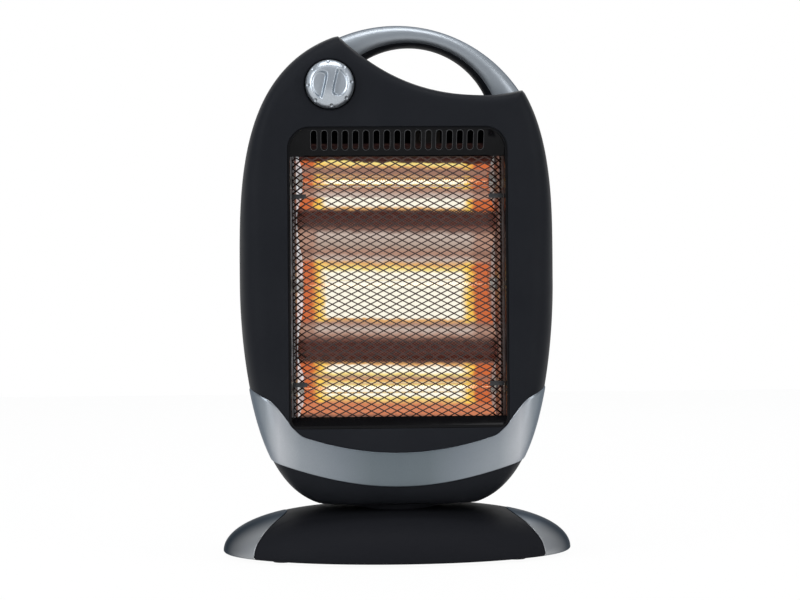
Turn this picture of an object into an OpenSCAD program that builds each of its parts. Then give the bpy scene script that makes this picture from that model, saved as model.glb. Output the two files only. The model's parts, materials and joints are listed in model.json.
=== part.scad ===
// Oscillating halogen heater: a tall oval head with three lamps behind an
// expanded-metal guard, on a domed oval base.
// Millimetres. +Z up, the lamps face -Y, +X is to the viewer's right.
// The origin is on the floor, under the middle of the base.

/* [Head] */
// Width of the head at its widest level
head_w = 287; // [284:0.2:290]
// Height of that level above the floor
head_mid_z = 249.4; // [248:0.2:251]
// How far the oval would rise above that level, but for the saddle
head_up = 231.9; // [231:0.1:234]
// How far the oval would reach below that level
head_low = 205.8; // [205:0.1:208]
// Height of the head's flat underside
head_floor_z = 50.5; // [50.4:0.1:50.7]
// Depth of the front housing, ahead of the parting plane
front_d = 72; // [71:0.5:74]
// Depth of the rear housing, behind the parting plane
rear_d = 58; // [57:0.5:60]
// Wall of the moulded housings
wall = 2.5; // [2:0.1:3]

/* [Window] */
// Width of the opening in the front housing
window_w = 196.4; // [194:0.2:198]
// Height of the opening
window_h = 269.2; // [266:0.2:271]
// Height of the opening's middle above the floor
window_mid_z = 255.2; // [254:0.2:257]

/* [Handle] */
// Depth of the handle from front to back
handle_depth = 34; // [30:1:38]
// Radius of the arc along the handle's top
handle_top_r = 137.9; // [137.5:0.1:138.3]
// Radius of the arc along the handle's underside
handle_under_r = 77.9; // [77.5:0.1:78.3]

/* [Knob] */
// Sideways place of the knob's axis
knob_x = -60; // [-62:1:-58]
// Height of the knob's axis
knob_z = 427.5; // [425:0.5:429]
// Diameter of the knob
knob_dia = 43.4; // [41:0.2:44]

/* [Lamps] */
// Height of the middle lamp
lamp_mid_z = 249; // [248:0.5:250]
// Height between neighbouring lamps
lamp_pitch = 94; // [93:0.5:95]
// Diameter of a quartz tube
lamp_dia = 10; // [9:0.5:10]

/* [Guard] */
// Width of one diamond of the expanded metal
mesh_w = 11.5; // [11:0.1:12.5]
// Height of one diamond
mesh_h = 6; // [5.8:0.1:6.6]
// Width of a strand
strand = 1.1; // [0.9:0.1:1.3]

/* [Base] */
// Length of the base, side to side
base_w = 322; // [316:1:326]
// Depth of the base, front to back
base_d = 204; // [203:0.5:206]
// Height of the dome over the floor
base_top_z = 46.1; // [46:0.1:46.2]

/* [Swing] */
// Swing of the head to each side
swing_deg = 35; // [30:1:35]
// Radius of the swivel post
post_r = 12; // [12:0.1:12.2]

/* [Hidden] */
$fn = 64;

// Colours
black = "#1f2022";
gloss_black = "#141516";
silver = "#9aa3ad";
dark_silver = "#5a636c";
steel = "#b6babd";
mirror_metal = "#d8d4c8";
white_ceramic = "#e9e4d8";
nylon = "#d9d6cc";

// Shape of the oval: the powers of its upper and lower halves
oval_up_px = 2.45;
oval_up_pz = 3.16;
oval_low_px = 4.36;
oval_low_pz = 1.86;
// The saddle, the hollow line along the head's top, is lowest at saddle_x
saddle_x = 84.2;
saddle_low_z = 420;
saddle_left_rise = 25.7;
saddle_left_power = 2.42;
saddle_right_rise = 0.03;
// How square the edge between face and side is, at the sides and at the top
edge_side = 3.5;
edge_top = 7;
// Flat middle of the front face and of the back
front_flat = [104, 141];
rear_flat = [80, 130];
flat_power = 10;
// Rays from the window's middle, between the outline's corners
corner_rays = [55.93, 103.46, 249.72, 290.28, 415.93];
rays_between = [14, 34, 8, 32];
// Steps around the edge, from the parting plane to the flat face
edge_steps = [0, 4, 12, 25, 39, 52, 65, 78, 86, 90];

// Levels of the swivel, from the base up
ring_r = 40;
ring_top_z = 49.9;
ring_disc_z = 46.2;
glide_r = [27, 35];
glide_sink = 2;
flange_r = 33.5;
flange_screw_r = 26;
floor_hole_r = 17;
bush_r = 15;
flange_z = head_floor_z + wall;
flange_t = 2.5;
bush_top_z = flange_z + flange_t + 3;
washer_t = 1.5;
washer_r = 20;
plate_z = bush_top_z + 0.1 + washer_t;
plate_t = 2;
nut_h = 7.4;
post_top_z = 71;
running_fit = 0.05;

// The swing motor's crank, behind the post
crank_y = 24;
crank_r = crank_y * sin(swing_deg);
crank_z = 72;
crank_t = 4;
pin_r = 2.5;
motor_z = 80.5;
motor_r = 24.5;
motor_h = 20;
motor_ear_t = 1.5;
bracket_foot = [41, 18];
bracket_foot_t = 1.5;
motor_shaft_r = 3.5;
motor_screw_x = [-33, 33];

// Behind the window
frame_wall = 1.8;
frame_front_y = -front_d + 0.3;
grille_y = -60;
grille_t = 0.8;
grille_half = 84;
grille_low_z = 127;
grille_high_z = 363.8;
lamp_y = -32;
lamp_r = lamp_dia / 2;
lead_r = 0.9;
lamp_half = 90;
lamp_levels = [lamp_mid_z + lamp_pitch, lamp_mid_z, lamp_mid_z - lamp_pitch];
trough_half = [34, 60, 34];
ridge_y = -42;
trough_y = -16;
sheet = 0.8;
shield_y = -10;
bracket_x = 100.2;
bracket_screw_x = 112;
bracket_screw_z = [180, 330];
seat_y = -68;

base_rim_z = 5;
base_px = 3.05;
base_pz = 2;
cap_split_x = 102;
cap_split_r = 74.5;
screw_hole_r = 1.7;
foot_places = [[-105, -48], [105, -48], [-105, 48], [105, 48]];
base_screw_places = [[-78, -46], [78, -46], [-78, 46], [78, 46]];
foot_pin_r = 3;
tip_x = 66;
tip_y = -20;
plunger_r = 3;
gland_z = 14.5;
gland_inner_y = 88;
gland_neck_r = 5;
gland_flange_r = 6.8;
gland_seat_r = 8;
cord_r = 3.8;

housing_screw_places = [[-124, 330], [124, 330], [-122, 190], [122, 190], [-92, 100], [92, 100]];

// ---------------------------------------------------------------- helpers

function spow(v, e) = sign(v) * pow(abs(v), e);

// Below 1 inside the oval, with the outline drawn in by d
function oval_level(x, z, d) =
    z > head_mid_z
    ? pow(abs(x) / (head_w / 2 - d), oval_up_px)
      + pow((z - head_mid_z) / (head_up - d), oval_up_pz)
    : pow(abs(x) / (head_w / 2 - d), oval_low_px)
      + pow((head_mid_z - z) / (head_low - d), oval_low_pz);

function saddle_z(x) =
    x < saddle_x
    ? saddle_low_z + saddle_left_rise * pow((saddle_x - x) / 100, saddle_left_power)
    : saddle_low_z + saddle_right_rise * pow(x - saddle_x, 1.5);

function in_head(x, z, d) = oval_level(x, z, d) < 1 && z < saddle_z(x) - 1.2 * d;

// Distance from the window's middle to the outline along a ray, by halving
function ray_r(a, d, low = 60, high = 330, steps = 24) =
    steps == 0 ? low
    : let (m = (low + high) / 2)
      in_head(m * cos(a), window_mid_z + m * sin(a), d)
      ? ray_r(a, d, m, high, steps - 1)
      : ray_r(a, d, low, m, steps - 1);

// The same to the edge of a flat face of half sizes s
function flat_r(a, s) =
    pow(pow(abs(cos(a)) / s[0], flat_power) + pow(abs(sin(a)) / s[1], flat_power), -1 / flat_power);

function edge_power(a) = edge_side + (edge_top - edge_side) * pow(max(0, sin(a)), 2);

rays = [for (k = [0:len(rays_between) - 1], i = [0:rays_between[k] - 1])
    corner_rays[k] + (corner_rays[k + 1] - corner_rays[k]) * i / rays_between[k]];

// One ring of a housing surface, u degrees round its edge
function edge_ring(u, radii, depth, flat_size, floor_z) =
    [for (i = [0:len(rays) - 1])
        let (a = rays[i], e = 2 / edge_power(a), f = flat_r(a, flat_size),
             r = f + (radii[i] - f) * pow(cos(u), e))
        [r * cos(a), -depth * pow(sin(u), e), max(floor_z, window_mid_z + r * sin(a))]];

// How far ahead of the parting plane the face is at a place (x, z)
function face_depth(x, z, depth, flat_size) =
    let (a = atan2(z - window_mid_z, x), r = norm([x, z - window_mid_z]),
         f = flat_r(a, flat_size), t = (r - f) / (ray_r(a, 0) - f), n = edge_power(a))
    t <= 0 ? depth : depth * pow(max(0, 1 - pow(t, n)), 1 / n);

// A closed surface through rings of equal length, with flat ends
module skin(rings, flip = false) {
    n = len(rings[0]);
    m = len(rings);
    points = [for (ring = rings, p = ring) p];
    sides = [for (k = [0:m - 2], i = [0:n - 1])
        let (j = (i + 1) % n, a = k * n + i, b = k * n + j, c = a + n, d = b + n)
        each [[a, b, c], [b, d, c]]];
    ends = [[for (i = [n - 1:-1:0]) i], [for (i = [0:n - 1]) (m - 1) * n + i]];
    faces = concat(sides, ends);
    polyhedron(points, flip ? [for (f = faces) [for (i = [len(f) - 1:-1:0]) f[i]]] : faces);
}

// A moulded half housing: open at the parting plane, closed by a flat face
module half_housing(depth, flat_size) {
    outer = [for (a = rays) ray_r(a, 0)];
    inner = [for (a = rays) ray_r(a, wall)];
    skin(concat(
        [for (i = [len(edge_steps) - 1:-1:0])
            edge_ring(edge_steps[i], outer, depth, flat_size, head_floor_z)],
        [for (u = edge_steps)
            edge_ring(u, inner, depth - wall, flat_size, head_floor_z + wall)]));
}

// A cylinder along Y from y0 to y1
module rod_y(x, z, r, y0, y1) {
    translate([x, y0, z]) rotate([-90, 0, 0]) cylinder(r = r, h = y1 - y0);
}

// A cylinder along X from x0 to x1
module rod_x(y, z, r, x0, x1) {
    translate([x0, y, z]) rotate([0, 90, 0]) cylinder(r = r, h = x1 - x0);
}

module at_mirrored_x() {
    children();
    mirror([1, 0, 0]) children();
}

// A rectangle with its own corner radius at the top and at the bottom
module window_shape(w, h, r_top, r_low) {
    translate([-w / 2, -h / 2 + r_low]) square([w, h - r_top - r_low]);
    for (end = [[1, r_top], [-1, r_low]]) {
        r = end[1];
        translate([-w / 2 + r, end[0] > 0 ? h / 2 - r : -h / 2]) square([w - 2 * r, r]);
        for (sx = [-1, 1]) translate([sx * (w / 2 - r), end[0] * (h / 2 - r)]) circle(r);
    }
}

// The same standing in the window, from y0 to y1
module window_block(w, h, r_top, r_low, y0, y1) {
    translate([0, y1, window_mid_z]) rotate([90, 0, 0])
        linear_extrude(y1 - y0) window_shape(w, h, r_top, r_low);
}

// An eight-sided wire through points, mitred at each of them
module wire(points, r) {
    n = len(points);
    off_axis = [0.3, 1, 0.1];
    skin([for (i = [0:n - 1])
        let (before = points[i] - points[max(0, i - 1)],
             after = points[min(n - 1, i + 1)] - points[i],
             t = i == 0 ? after
                 : i == n - 1 ? before
                 : before / norm(before) + after / norm(after),
             u = cross(t, off_axis), v = cross(t, u))
        [for (w = [0:45:315]) points[i] + r * (cos(w) * u / norm(u) + sin(w) * v / norm(v))]], true);
}

// A pan-head screw pointing up +Z, with the underside of its head at the origin
module screw(r, length, head_r, head_h) {
    translate([0, 0, -head_h]) cylinder(r = head_r, h = head_h, $fn = 32);
    cylinder(r = r, h = length, $fn = 32);
}

// ---------------------------------------------------------------- base

function dome_ring(f, z, d) =
    [for (i = [0:71]) [(base_w / 2 - d) * f * cos(i * 5), (base_d / 2 - d) * f * sin(i * 5), z]];

// Rings of the dome's surface from its rim to its flat top, drawn in by d
function dome_rings(d) =
    [for (u = [0, 7, 16, 27, 38, 49, 60, 71, 82])
        let (z = base_rim_z + (base_top_z - base_rim_z - d) * pow(sin(u), 2 / base_pz))
        dome_ring(pow(cos(u), 2 / base_px), z, d)];

module dome_shell() {
    outer = concat([dome_ring(0.985, base_rim_z - 2, 0)], dome_rings(0));
    inner = concat([dome_ring(0.985, base_rim_z - 2, wall)], dome_rings(wall));
    skin(concat([for (i = [len(outer) - 1:-1:0]) outer[i]], inner));
}

// What each end cap takes from the dome
module cap_split() {
    translate([cap_split_x + cap_split_r, 0, -1]) cylinder(r = cap_split_r, h = base_top_z, $fn = 96);
}

module base_cover() {
    color(black) difference() {
        union() {
            dome_shell();
            for (p = base_screw_places) translate([p[0], p[1], 6]) cylinder(r = 4.5, h = 32);
            rod_y(0, gland_z, gland_seat_r, gland_inner_y, base_d / 2 - 1);
        }
        at_mirrored_x() cap_split();
        translate([0, 0, 20]) cylinder(r = ring_r, h = 40, $fn = 128);
        rod_y(0, gland_z, gland_neck_r, 80, base_d / 2 + 1);
        rod_y(0, gland_z, gland_seat_r, base_d / 2 - 1, base_d / 2 + 1);
        for (p = base_screw_places) translate([p[0], p[1], 0]) cylinder(r = screw_hole_r, h = 22);
    }
}

module base_end_cap_right() {
    color(dark_silver) intersection() {
        dome_shell();
        cap_split();
    }
}

module base_end_cap_left() {
    mirror([1, 0, 0]) base_end_cap_right();
}

module base_plate() {
    color("#303234") difference() {
        translate([0, 0, 4]) linear_extrude(2)
            polygon([for (i = [0:71]) [(base_w / 2 - 5) * cos(i * 5), (base_d / 2 - 5) * sin(i * 5)]]);
        for (p = base_screw_places) translate([p[0], p[1], 0]) cylinder(r = screw_hole_r, h = 10);
        for (p = foot_places) translate([p[0], p[1], 0]) cylinder(r = foot_pin_r, h = 10);
        translate([tip_x, tip_y, 0]) cylinder(r = plunger_r + running_fit, h = 10);
    }
}

module rubber_feet() {
    color("#222222") for (p = foot_places) translate([p[0], p[1], 0]) {
        cylinder(r = 9, h = 4);
        cylinder(r = foot_pin_r, h = 6.5);
    }
}

module base_screws() {
    color(steel) for (p = base_screw_places) translate([p[0], p[1], 4]) screw(screw_hole_r, 16, 3.4, 1.8);
}

module turntable_ring() {
    color(black) rotate_extrude($fn = 128) polygon([
        [post_r + 1, ring_disc_z], [post_r + 1, ring_top_z],
        [glide_r[0], ring_top_z], [glide_r[0], ring_top_z - glide_sink],
        [glide_r[1], ring_top_z - glide_sink], [glide_r[1], ring_top_z],
        [ring_r - 0.8, ring_top_z], [ring_r, ring_top_z - 0.8],
        [ring_r, 36], [ring_r - wall, 36], [ring_r - wall, ring_disc_z]]);
}

module glide_ring() {
    color(nylon) translate([0, 0, ring_top_z - glide_sink]) difference() {
        cylinder(r = glide_r[1] - 0.1, h = head_floor_z - ring_top_z + glide_sink - running_fit, $fn = 96);
        translate([0, 0, -1]) cylinder(r = glide_r[0] + 0.1, h = 5, $fn = 96);
    }
}

module swivel_post() {
    post_low_z = ring_disc_z - 2.5;
    color(steel) difference() {
        union() {
            translate([0, 0, post_low_z]) cylinder(r = ring_r - 5, h = ring_disc_z - post_low_z);
            translate([0, 0, post_low_z]) cylinder(r = post_r, h = post_top_z - post_low_z);
        }
        cylinder(r = post_r - 3.5, h = 100);
    }
}

module retaining_washer() {
    color(steel) translate([0, 0, bush_top_z + 0.1]) difference() {
        cylinder(r = washer_r, h = washer_t);
        translate([0, 0, -1]) cylinder(r = post_r, h = 4);
    }
}

// The plate that the motor's crank pin pushes against. Its slot is radial.
module swing_plate() {
    slot_half = pin_r + 1.5;
    slot_near = 23.5;
    slot_far = 38;
    arm_w = 16;
    arm_end = slot_far + slot_half + 1.5;
    color(steel) translate([0, 0, plate_z]) difference() {
        union() {
            cylinder(r = washer_r, h = plate_t);
            translate([-arm_w / 2, 0, 0]) cube([arm_w, arm_end, plate_t]);
        }
        translate([0, 0, -1]) {
            cylinder(r = post_r, h = 4);
            for (y = [slot_near, slot_far]) translate([0, y, 0]) cylinder(r = slot_half, h = 4);
            translate([-slot_half, slot_near, 0]) cube([2 * slot_half, slot_far - slot_near, 4]);
        }
    }
}

module retaining_nut() {
    color(steel) translate([0, 0, plate_z + plate_t]) difference() {
        cylinder(r = 17.3, h = nut_h, $fn = 6);
        translate([0, 0, -1]) cylinder(r = post_r, h = nut_h + 2);
    }
}

module tip_switch_body() {
    color("#2b2b2e") translate([tip_x, tip_y, 0]) difference() {
        union() {
            translate([-11, -6, 22]) cube([22, 12, 14]);
            for (x = [-11, 8]) translate([x, -6, 6]) cube([3, 12, 17]);
        }
        translate([0, 0, 20]) cylinder(r = plunger_r + running_fit, h = 10);
    }
}

module tip_plunger() {
    color("#c9c3b4") translate([tip_x, tip_y, 0]) {
        cylinder(r = 6, h = 2.5);
        cylinder(r = plunger_r, h = 26);
        translate([0, 0, 14]) cylinder(r = 5, h = 1.5);
    }
}

module tip_spring() {
    color(steel) translate([tip_x, tip_y, 15.5]) difference() {
        cylinder(r = 4.6, h = 6.5);
        translate([0, 0, -1]) cylinder(r = 3.6, h = 9);
    }
}

module cord_gland() {
    color("#18181a") difference() {
        union() {
            rod_y(0, gland_z, gland_flange_r, base_d / 2 - 1, base_d / 2);
            rod_y(0, gland_z, gland_neck_r, gland_inner_y, base_d / 2 - 0.5);
            rod_y(0, gland_z, gland_flange_r, gland_inner_y - 2, gland_inner_y);
        }
        rod_y(0, gland_z, cord_r, 80, base_d / 2 + 1);
    }
}

module terminal_block() {
    color(white_ceramic) translate([-58, 10, 6]) difference() {
        cube([36, 16, 13]);
        for (i = [0:2]) translate([6 + 12 * i, 8, 5]) cylinder(r = 2.6, h = 10);
    }
}

module base_wiring() {
    color("#6b4a2e") {
        wire([[0, 85.9, gland_z], [0, 70, gland_z], [-30, 46, 14], [-40, 36, 12], [-40, 26.1, 12]], 2.4);
        wire([[-40, 9.9, 12], [-40, 2, 12], [-30, -8, 14], [-8, -4, 26], [0, 0, 36], [0, 0, 60]], 2.4);
    }
}

// ---------------------------------------------------------------- housings

// Holes in the head's floor for the neck and its screws
module floor_holes() {
    translate([0, 0, head_floor_z - 1]) cylinder(r = floor_hole_r, h = 5);
    for (a = [45:90:315]) rotate([0, 0, a]) translate([flange_screw_r, 0, head_floor_z - 1])
        cylinder(r = 2, h = 5);
    at_mirrored_x() translate([bracket_foot[0], bracket_foot[1], head_floor_z - 1])
        cylinder(r = screw_hole_r, h = 5);
}

module front_housing() {
    knob_pocket_r = knob_dia / 2 + 1.3;
    color(black) difference() {
        union() {
            half_housing(front_d, front_flat);
            rod_y(knob_x, knob_z, knob_pocket_r + wall, seat_y - 0.6, seat_y + 3);
            for (p = housing_screw_places)
                rod_y(p[0], p[1], 4.5, 1 - face_depth(p[0], p[1], front_d, front_flat), 0);
            for (sx = [-1, 1], z = bracket_screw_z)
                rod_y(sx * bracket_screw_x, z, 4,
                    1 - face_depth(bracket_screw_x, z, front_d, front_flat), -18);
        }
        window_block(window_w, window_h, 20, 8, -front_d - 1, -front_d + wall + 1);
        rod_y(knob_x, knob_z, knob_pocket_r, -front_d - 2, seat_y);
        rod_y(knob_x, knob_z, 5, seat_y - 1, seat_y + 4);
        floor_holes();
        for (p = housing_screw_places) rod_y(p[0], p[1], 1.6, -20, 1);
        for (sx = [-1, 1], z = bracket_screw_z) rod_y(sx * bracket_screw_x, z, 1.5, -30, -17);
        for (end = handle_ends) handle_screw_line(end, -handle_screw_y) translate([0, 0, -8])
            cylinder(r = 2, h = 12);
    }
}

module rear_housing() {
    vent_rows = [for (z = [286:7.5:368]) z];
    low_rows = [for (z = [142:7.5:202]) z];
    color(black) difference() {
        union() {
            mirror([0, 1, 0]) half_housing(rear_d, rear_flat);
            for (p = housing_screw_places)
                rod_y(p[0], p[1], 5.5, 0, face_depth(p[0], p[1], rear_d, rear_flat) - 1);
        }
        for (z = concat(vent_rows, low_rows), x = [-66, 6])
            translate([x, rear_d - wall - 1, z]) cube([60, wall + 2, 3.5]);
        for (p = housing_screw_places) {
            rod_y(p[0], p[1], 1.6, -1, 10);
            rod_y(p[0], p[1], 4, 6, rear_d + 2);
        }
        floor_holes();
        for (end = handle_ends) handle_screw_line(end, handle_screw_y) translate([0, 0, -8])
            cylinder(r = 2, h = 12);
    }
}

module housing_screws() {
    color(steel) for (p = housing_screw_places)
        translate([p[0], 6, p[1]]) rotate([90, 0, 0]) screw(1.6, 24, 3, 2);
}

// The silver band across the foot of the head.
// Its edges, as heights over the sideways place x.
function smooth_step(t) = let (s = min(1, max(0, t))) s * s * (3 - 2 * s);
function band_top_z(x) = 98.8 + 0.002 * x * x + 21 * smooth_step((abs(x) - 84) / 34);
function band_low_z(x) = 68.3 + 0.00216 * x * x - 3.1 * pow(x / 100, 4);
band_top_end = 134.4;
band_low_end = 114.3;

// A place (x, z) as [ray, share of the way from the flat face to the outline]
function to_ray(x, z) =
    let (a = atan2(z - window_mid_z, x), r = norm([x, z - window_mid_z]), f = flat_r(a, front_flat))
    [a < 0 ? a + 360 : a, (r - f) / (ray_r(a, 0) - f)];

// A point of the front surface at a ray and share, raised by d
function on_face(ray, d) =
    let (a = ray[0], e = edge_power(a), t = min(1, max(0, ray[1])), f = flat_r(a, front_flat),
         r = f + (ray_r(a, -d) - f) * t)
    [r * cos(a), -(front_d + d) * pow(max(0, 1 - pow(t, e)), 1 / e), window_mid_z + r * sin(a)];

module trim_band() {
    cols = 56;
    rows = 6;
    proud = 0.9;
    sunk = 0.3;
    edges = [for (i = [0:cols])
        let (s = sin(-90 + 180 * i / cols), last = i == 0 || i == cols,
             low = to_ray(s * band_low_end, band_low_z(s * band_low_end)),
             top = to_ray(s * band_top_end, band_top_z(s * band_top_end)))
        last ? [[low[0], 1], [top[0], 1]] : [low, top]];
    color(silver) skin([for (e = edges) concat(
        [for (j = [0:rows]) on_face(e[0] + (e[1] - e[0]) * j / rows, proud)],
        [for (j = [rows:-1:0]) on_face(e[0] + (e[1] - e[0]) * j / rows, -sunk)])]);
}

// ---------------------------------------------------------------- handle

// The two arcs in the X-Z plane: centre, radius and end angles
handle_top = [2.4, 351.5, handle_top_r, 116, 32];
handle_under = [14, 391.2, handle_under_r, 127, 19];
// The seam between the upper and the lower piece, in degrees round the section
handle_seam = -40;
// Both ends: a place where the handle meets the saddle, and the slope there of a line into the handle
handle_ends = [[-40.6, 465.5, 49], [101, 422.65, 99]];
handle_screw_y = 9;

function arc_point(arc, s) =
    let (a = arc[3] + (arc[4] - arc[3]) * s) [arc[0] + arc[2] * cos(a), arc[1] + arc[2] * sin(a)];

function handle_section(s, angles) =
    let (top = arc_point(handle_top, s), under = arc_point(handle_under, s))
    [for (w = angles)
        let (v = (1 + spow(sin(w), 2 / 2.3)) / 2, p = under + (top - under) * v)
        [p[0], handle_depth / 2 * spow(cos(w), 2 / 2.3), p[1]]];

// What lies below the saddle, as deep as the handle. Its top runs along the
// housings' own rays, so that its faces match theirs.
module below_saddle() {
    left = -76;
    right = 132;
    low = saddle_low_z - 30;
    saddle_rays = [for (i = [0:rays_between[0]])
        corner_rays[0] + (corner_rays[1] - corner_rays[0]) * i / rays_between[0]];
    line = [for (a = saddle_rays)
        let (r = ray_r(a, 0) + running_fit) [r * cos(a), window_mid_z + r * sin(a)]];
    rotate([90, 0, 0]) linear_extrude(handle_depth + 2, center = true) polygon(concat(
        [[right, low], [right, saddle_z(right)]], line, [[left, saddle_z(left)], [left, low]]));
}

// Puts its child on a screw line of a handle end, +Z pointing into the handle
module handle_screw_line(end, y) {
    translate([end[0], y, end[1]]) rotate([0, 90 - end[2], 0]) children();
}

module handle() {
    angles = [for (i = [0:20]) handle_seam + (180 - 2 * handle_seam) * i / 20];
    color(silver) difference() {
        skin([for (i = [0:32]) handle_section(i / 32, angles)], true);
        below_saddle();
        for (end = handle_ends, y = [-handle_screw_y, handle_screw_y])
            handle_screw_line(end, y) translate([0, 0, -3]) cylinder(r = 2, h = 16);
    }
}

module handle_underside() {
    angles = [for (i = [0:8]) 180 - handle_seam + (180 + 2 * handle_seam) * i / 8];
    color(black) difference() {
        skin([for (i = [0:32]) handle_section(i / 32, angles)], true);
        below_saddle();
    }
}

module handle_screws() {
    color(steel) for (end = handle_ends, y = [-handle_screw_y, handle_screw_y])
        handle_screw_line(end, y) translate([0, 0, -3.6]) screw(2, 16, 3.8, 2.2);
}

// ---------------------------------------------------------------- window

// Slanted panels at the top and the bottom of the frame
vent_high = [-70.2, 388.2];
vent_low = [-57.5, 364.8];
lip_low = [-70.2, 122];
lip_high = [-61, 129.3];
vent_slots = 17;
vent_slot_pitch = 9.33;
vent_slot_r = 2.7;
vent_slot_half = 6.9;
// How far above the panel's middle the slots' middles are, along the panel
vent_slot_rise = 2.8;

// A panel between two points of the Y-Z plane
module slanted_panel(p, q, half_w, t) {
    d = q - p;
    translate([-half_w, p[0], p[1]]) rotate([atan2(d[1], d[0]), 0, 0]) cube([2 * half_w, norm(d), t]);
}

module window_frame() {
    flange = 3;
    inner_w = window_w - 0.6 - 2 * frame_wall;
    inner_h = window_h - 0.6 - 2 * frame_wall;
    vent_tilt = atan2(vent_high[0] - vent_low[0], vent_high[1] - vent_low[1]);
    vent_mid = (vent_high + vent_low) / 2;
    color(gloss_black) difference() {
        union() {
            difference() {
                union() {
                    window_block(window_w - 0.6, window_h - 0.6, 19.7, 7.7, frame_front_y, -55);
                    window_block(window_w + 2 * flange, window_h + 2 * flange, 20 + flange, 8 + flange,
                        -front_d + wall, -front_d + wall + 2);
                }
                window_block(inner_w, inner_h, 20 - frame_wall, 8 - frame_wall, -front_d - 1, -54);
            }
            intersection() {
                union() {
                    slanted_panel(vent_low, vent_high + [-3, 5.5], 100, 1.8);
                    slanted_panel(lip_low + [-3.5, -2.8], lip_high, 100, 1.8);
                }
                window_block(inner_w + 1, inner_h + 1, 20 - frame_wall, 8 - frame_wall, frame_front_y, -55);
            }
        }
        for (i = [0:vent_slots - 1])
            translate([(i - (vent_slots - 1) / 2) * vent_slot_pitch, vent_mid[0], vent_mid[1]])
                rotate([90 - vent_tilt, 0, 0]) translate([0, vent_slot_rise, -0.4]) {
                    for (s = [-1, 1]) translate([0, s * vent_slot_half, 0])
                        cylinder(r = vent_slot_r, h = 4, $fn = 24);
                    translate([-vent_slot_r, -vent_slot_half, 0])
                        cube([2 * vent_slot_r, 2 * vent_slot_half, 4]);
                }
    }
}

// A flat sheet of expanded metal in the X-Y plane, its corner at the origin
module expanded_sheet(w, h, columns_from) {
    hole_w = mesh_w - 2 * strand;
    hole_h = mesh_h - 1.15 * strand;
    border = 1.2;
    linear_extrude(grille_t) difference() {
        square([w, h]);
        for (row = [0:floor(2 * h / mesh_h)], col = [0:floor(w / mesh_w) + 1]) {
            x = (col + (row % 2) / 2 + columns_from) * mesh_w;
            y = row * mesh_h / 2;
            if (x - hole_w / 2 > border && x + hole_w / 2 < w - border
                && y - hole_h / 2 > border && y + hole_h / 2 < h - border)
                translate([x, y])
                    polygon([[-hole_w / 2, 0], [0, -hole_h / 2], [hole_w / 2, 0], [0, hole_h / 2]]);
        }
    }
}

module grille() {
    h = grille_high_z - grille_low_z;
    side_w = 15;
    side_turn = 46;
    side_short = 0.4;
    side_lap = 0.4;
    color("#1a1a1a") {
        translate([-grille_half, grille_y + grille_t, grille_low_z]) rotate([90, 0, 0])
            expanded_sheet(2 * grille_half, h, 0.3);
        at_mirrored_x()
            translate([grille_half - side_lap, grille_y + grille_t - 0.15, grille_low_z + side_short])
                rotate([0, 0, side_turn]) rotate([90, 0, 0])
                    expanded_sheet(side_w, h - 2 * side_short, 0.3);
    }
}

module grille_clips() {
    color("#151515") at_mirrored_x() for (z = [159.6, 328.3])
        translate([grille_half - 2, grille_y - 0.9, z - 2]) {
            cube([13, 0.9, 4]);
            translate([11, 0, 0]) cube([2, 6, 4]);
        }
}

// ---------------------------------------------------------------- reflector and lamps

// Place of the reflector over the height z: three troughs between two ridges
function reflector_y(z) =
    let (i = z > lamp_mid_z + trough_half[1] ? 0 : z < lamp_mid_z - trough_half[1] ? 2 : 1,
         mid = i == 1 ? lamp_mid_z : lamp_mid_z + (1 - i) * (trough_half[1] + trough_half[i]),
         u = (z - mid) / trough_half[i])
    ridge_y + (trough_y - ridge_y) * pow(cos(90 * u), 2);

reflector_low_z = lamp_mid_z - trough_half[1] - 2 * trough_half[2];
reflector_high_z = lamp_mid_z + trough_half[1] + 2 * trough_half[0];

// Half of the reflector's width at its back and at its front
side_back = [84.1, -18];
side_front = [92.2, -48.4];

module reflector() {
    levels = [for (i = [0:96]) reflector_low_z + (reflector_high_z - reflector_low_z) * i / 96];
    color(mirror_metal) intersection() {
        translate([-side_front[0], 0, 0]) rotate([90, 0, 90]) linear_extrude(2 * side_front[0])
            polygon(concat(
                [for (z = levels) [reflector_y(z), z]],
                [for (i = [96:-1:0]) [reflector_y(levels[i]) + sheet, levels[i]]]));
        translate([0, 0, reflector_low_z]) linear_extrude(reflector_high_z - reflector_low_z) polygon([
            [-side_back[0], shield_y], [-side_back[0], side_back[1]], [-side_front[0], side_front[1]],
            side_front, side_back, [side_back[0], shield_y]]);
    }
}

module reflector_side_right() {
    color(mirror_metal) difference() {
        translate([0, 0, reflector_low_z]) linear_extrude(reflector_high_z - reflector_low_z) polygon([
            [side_back[0], shield_y], side_back, side_front, side_front + [sheet, 0],
            side_back + [sheet, 0], [side_back[0] + sheet, shield_y]]);
        for (z = lamp_levels) rod_x(lamp_y, z, 6.6, 80, 98);
    }
}

module reflector_side_left() {
    mirror([1, 0, 0]) reflector_side_right();
}

module heat_shield() {
    low = reflector_low_z + 3;
    color(steel) difference() {
        translate([0, 0, low]) linear_extrude(reflector_high_z - 3 - low) polygon([
            [-bracket_x, shield_y - 7], [-bracket_x, shield_y + 1], [bracket_x, shield_y + 1],
            [bracket_x, shield_y - 7], [bracket_x - 1, shield_y - 7], [bracket_x - 1, shield_y],
            [1 - bracket_x, shield_y], [1 - bracket_x, shield_y - 7]]);
        for (x = [-70:20:70], z = [160, 340]) rod_y(x, z, 3, shield_y - 1, shield_y + 2);
    }
}

module lamp_bracket_right() {
    color(steel) difference() {
        translate([0, 0, 140]) linear_extrude(218) polygon([
            [bracket_x, -44], [bracket_x + 1.5, -44], [bracket_x + 1.5, -18], [118, -18],
            [118, -16.5], [bracket_x, -16.5]]);
        for (z = lamp_levels) rod_x(lamp_y, z, 3, 90, 110);
        for (z = bracket_screw_z) rod_y(bracket_screw_x, z, 1.5, -20, -10);
    }
}

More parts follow.
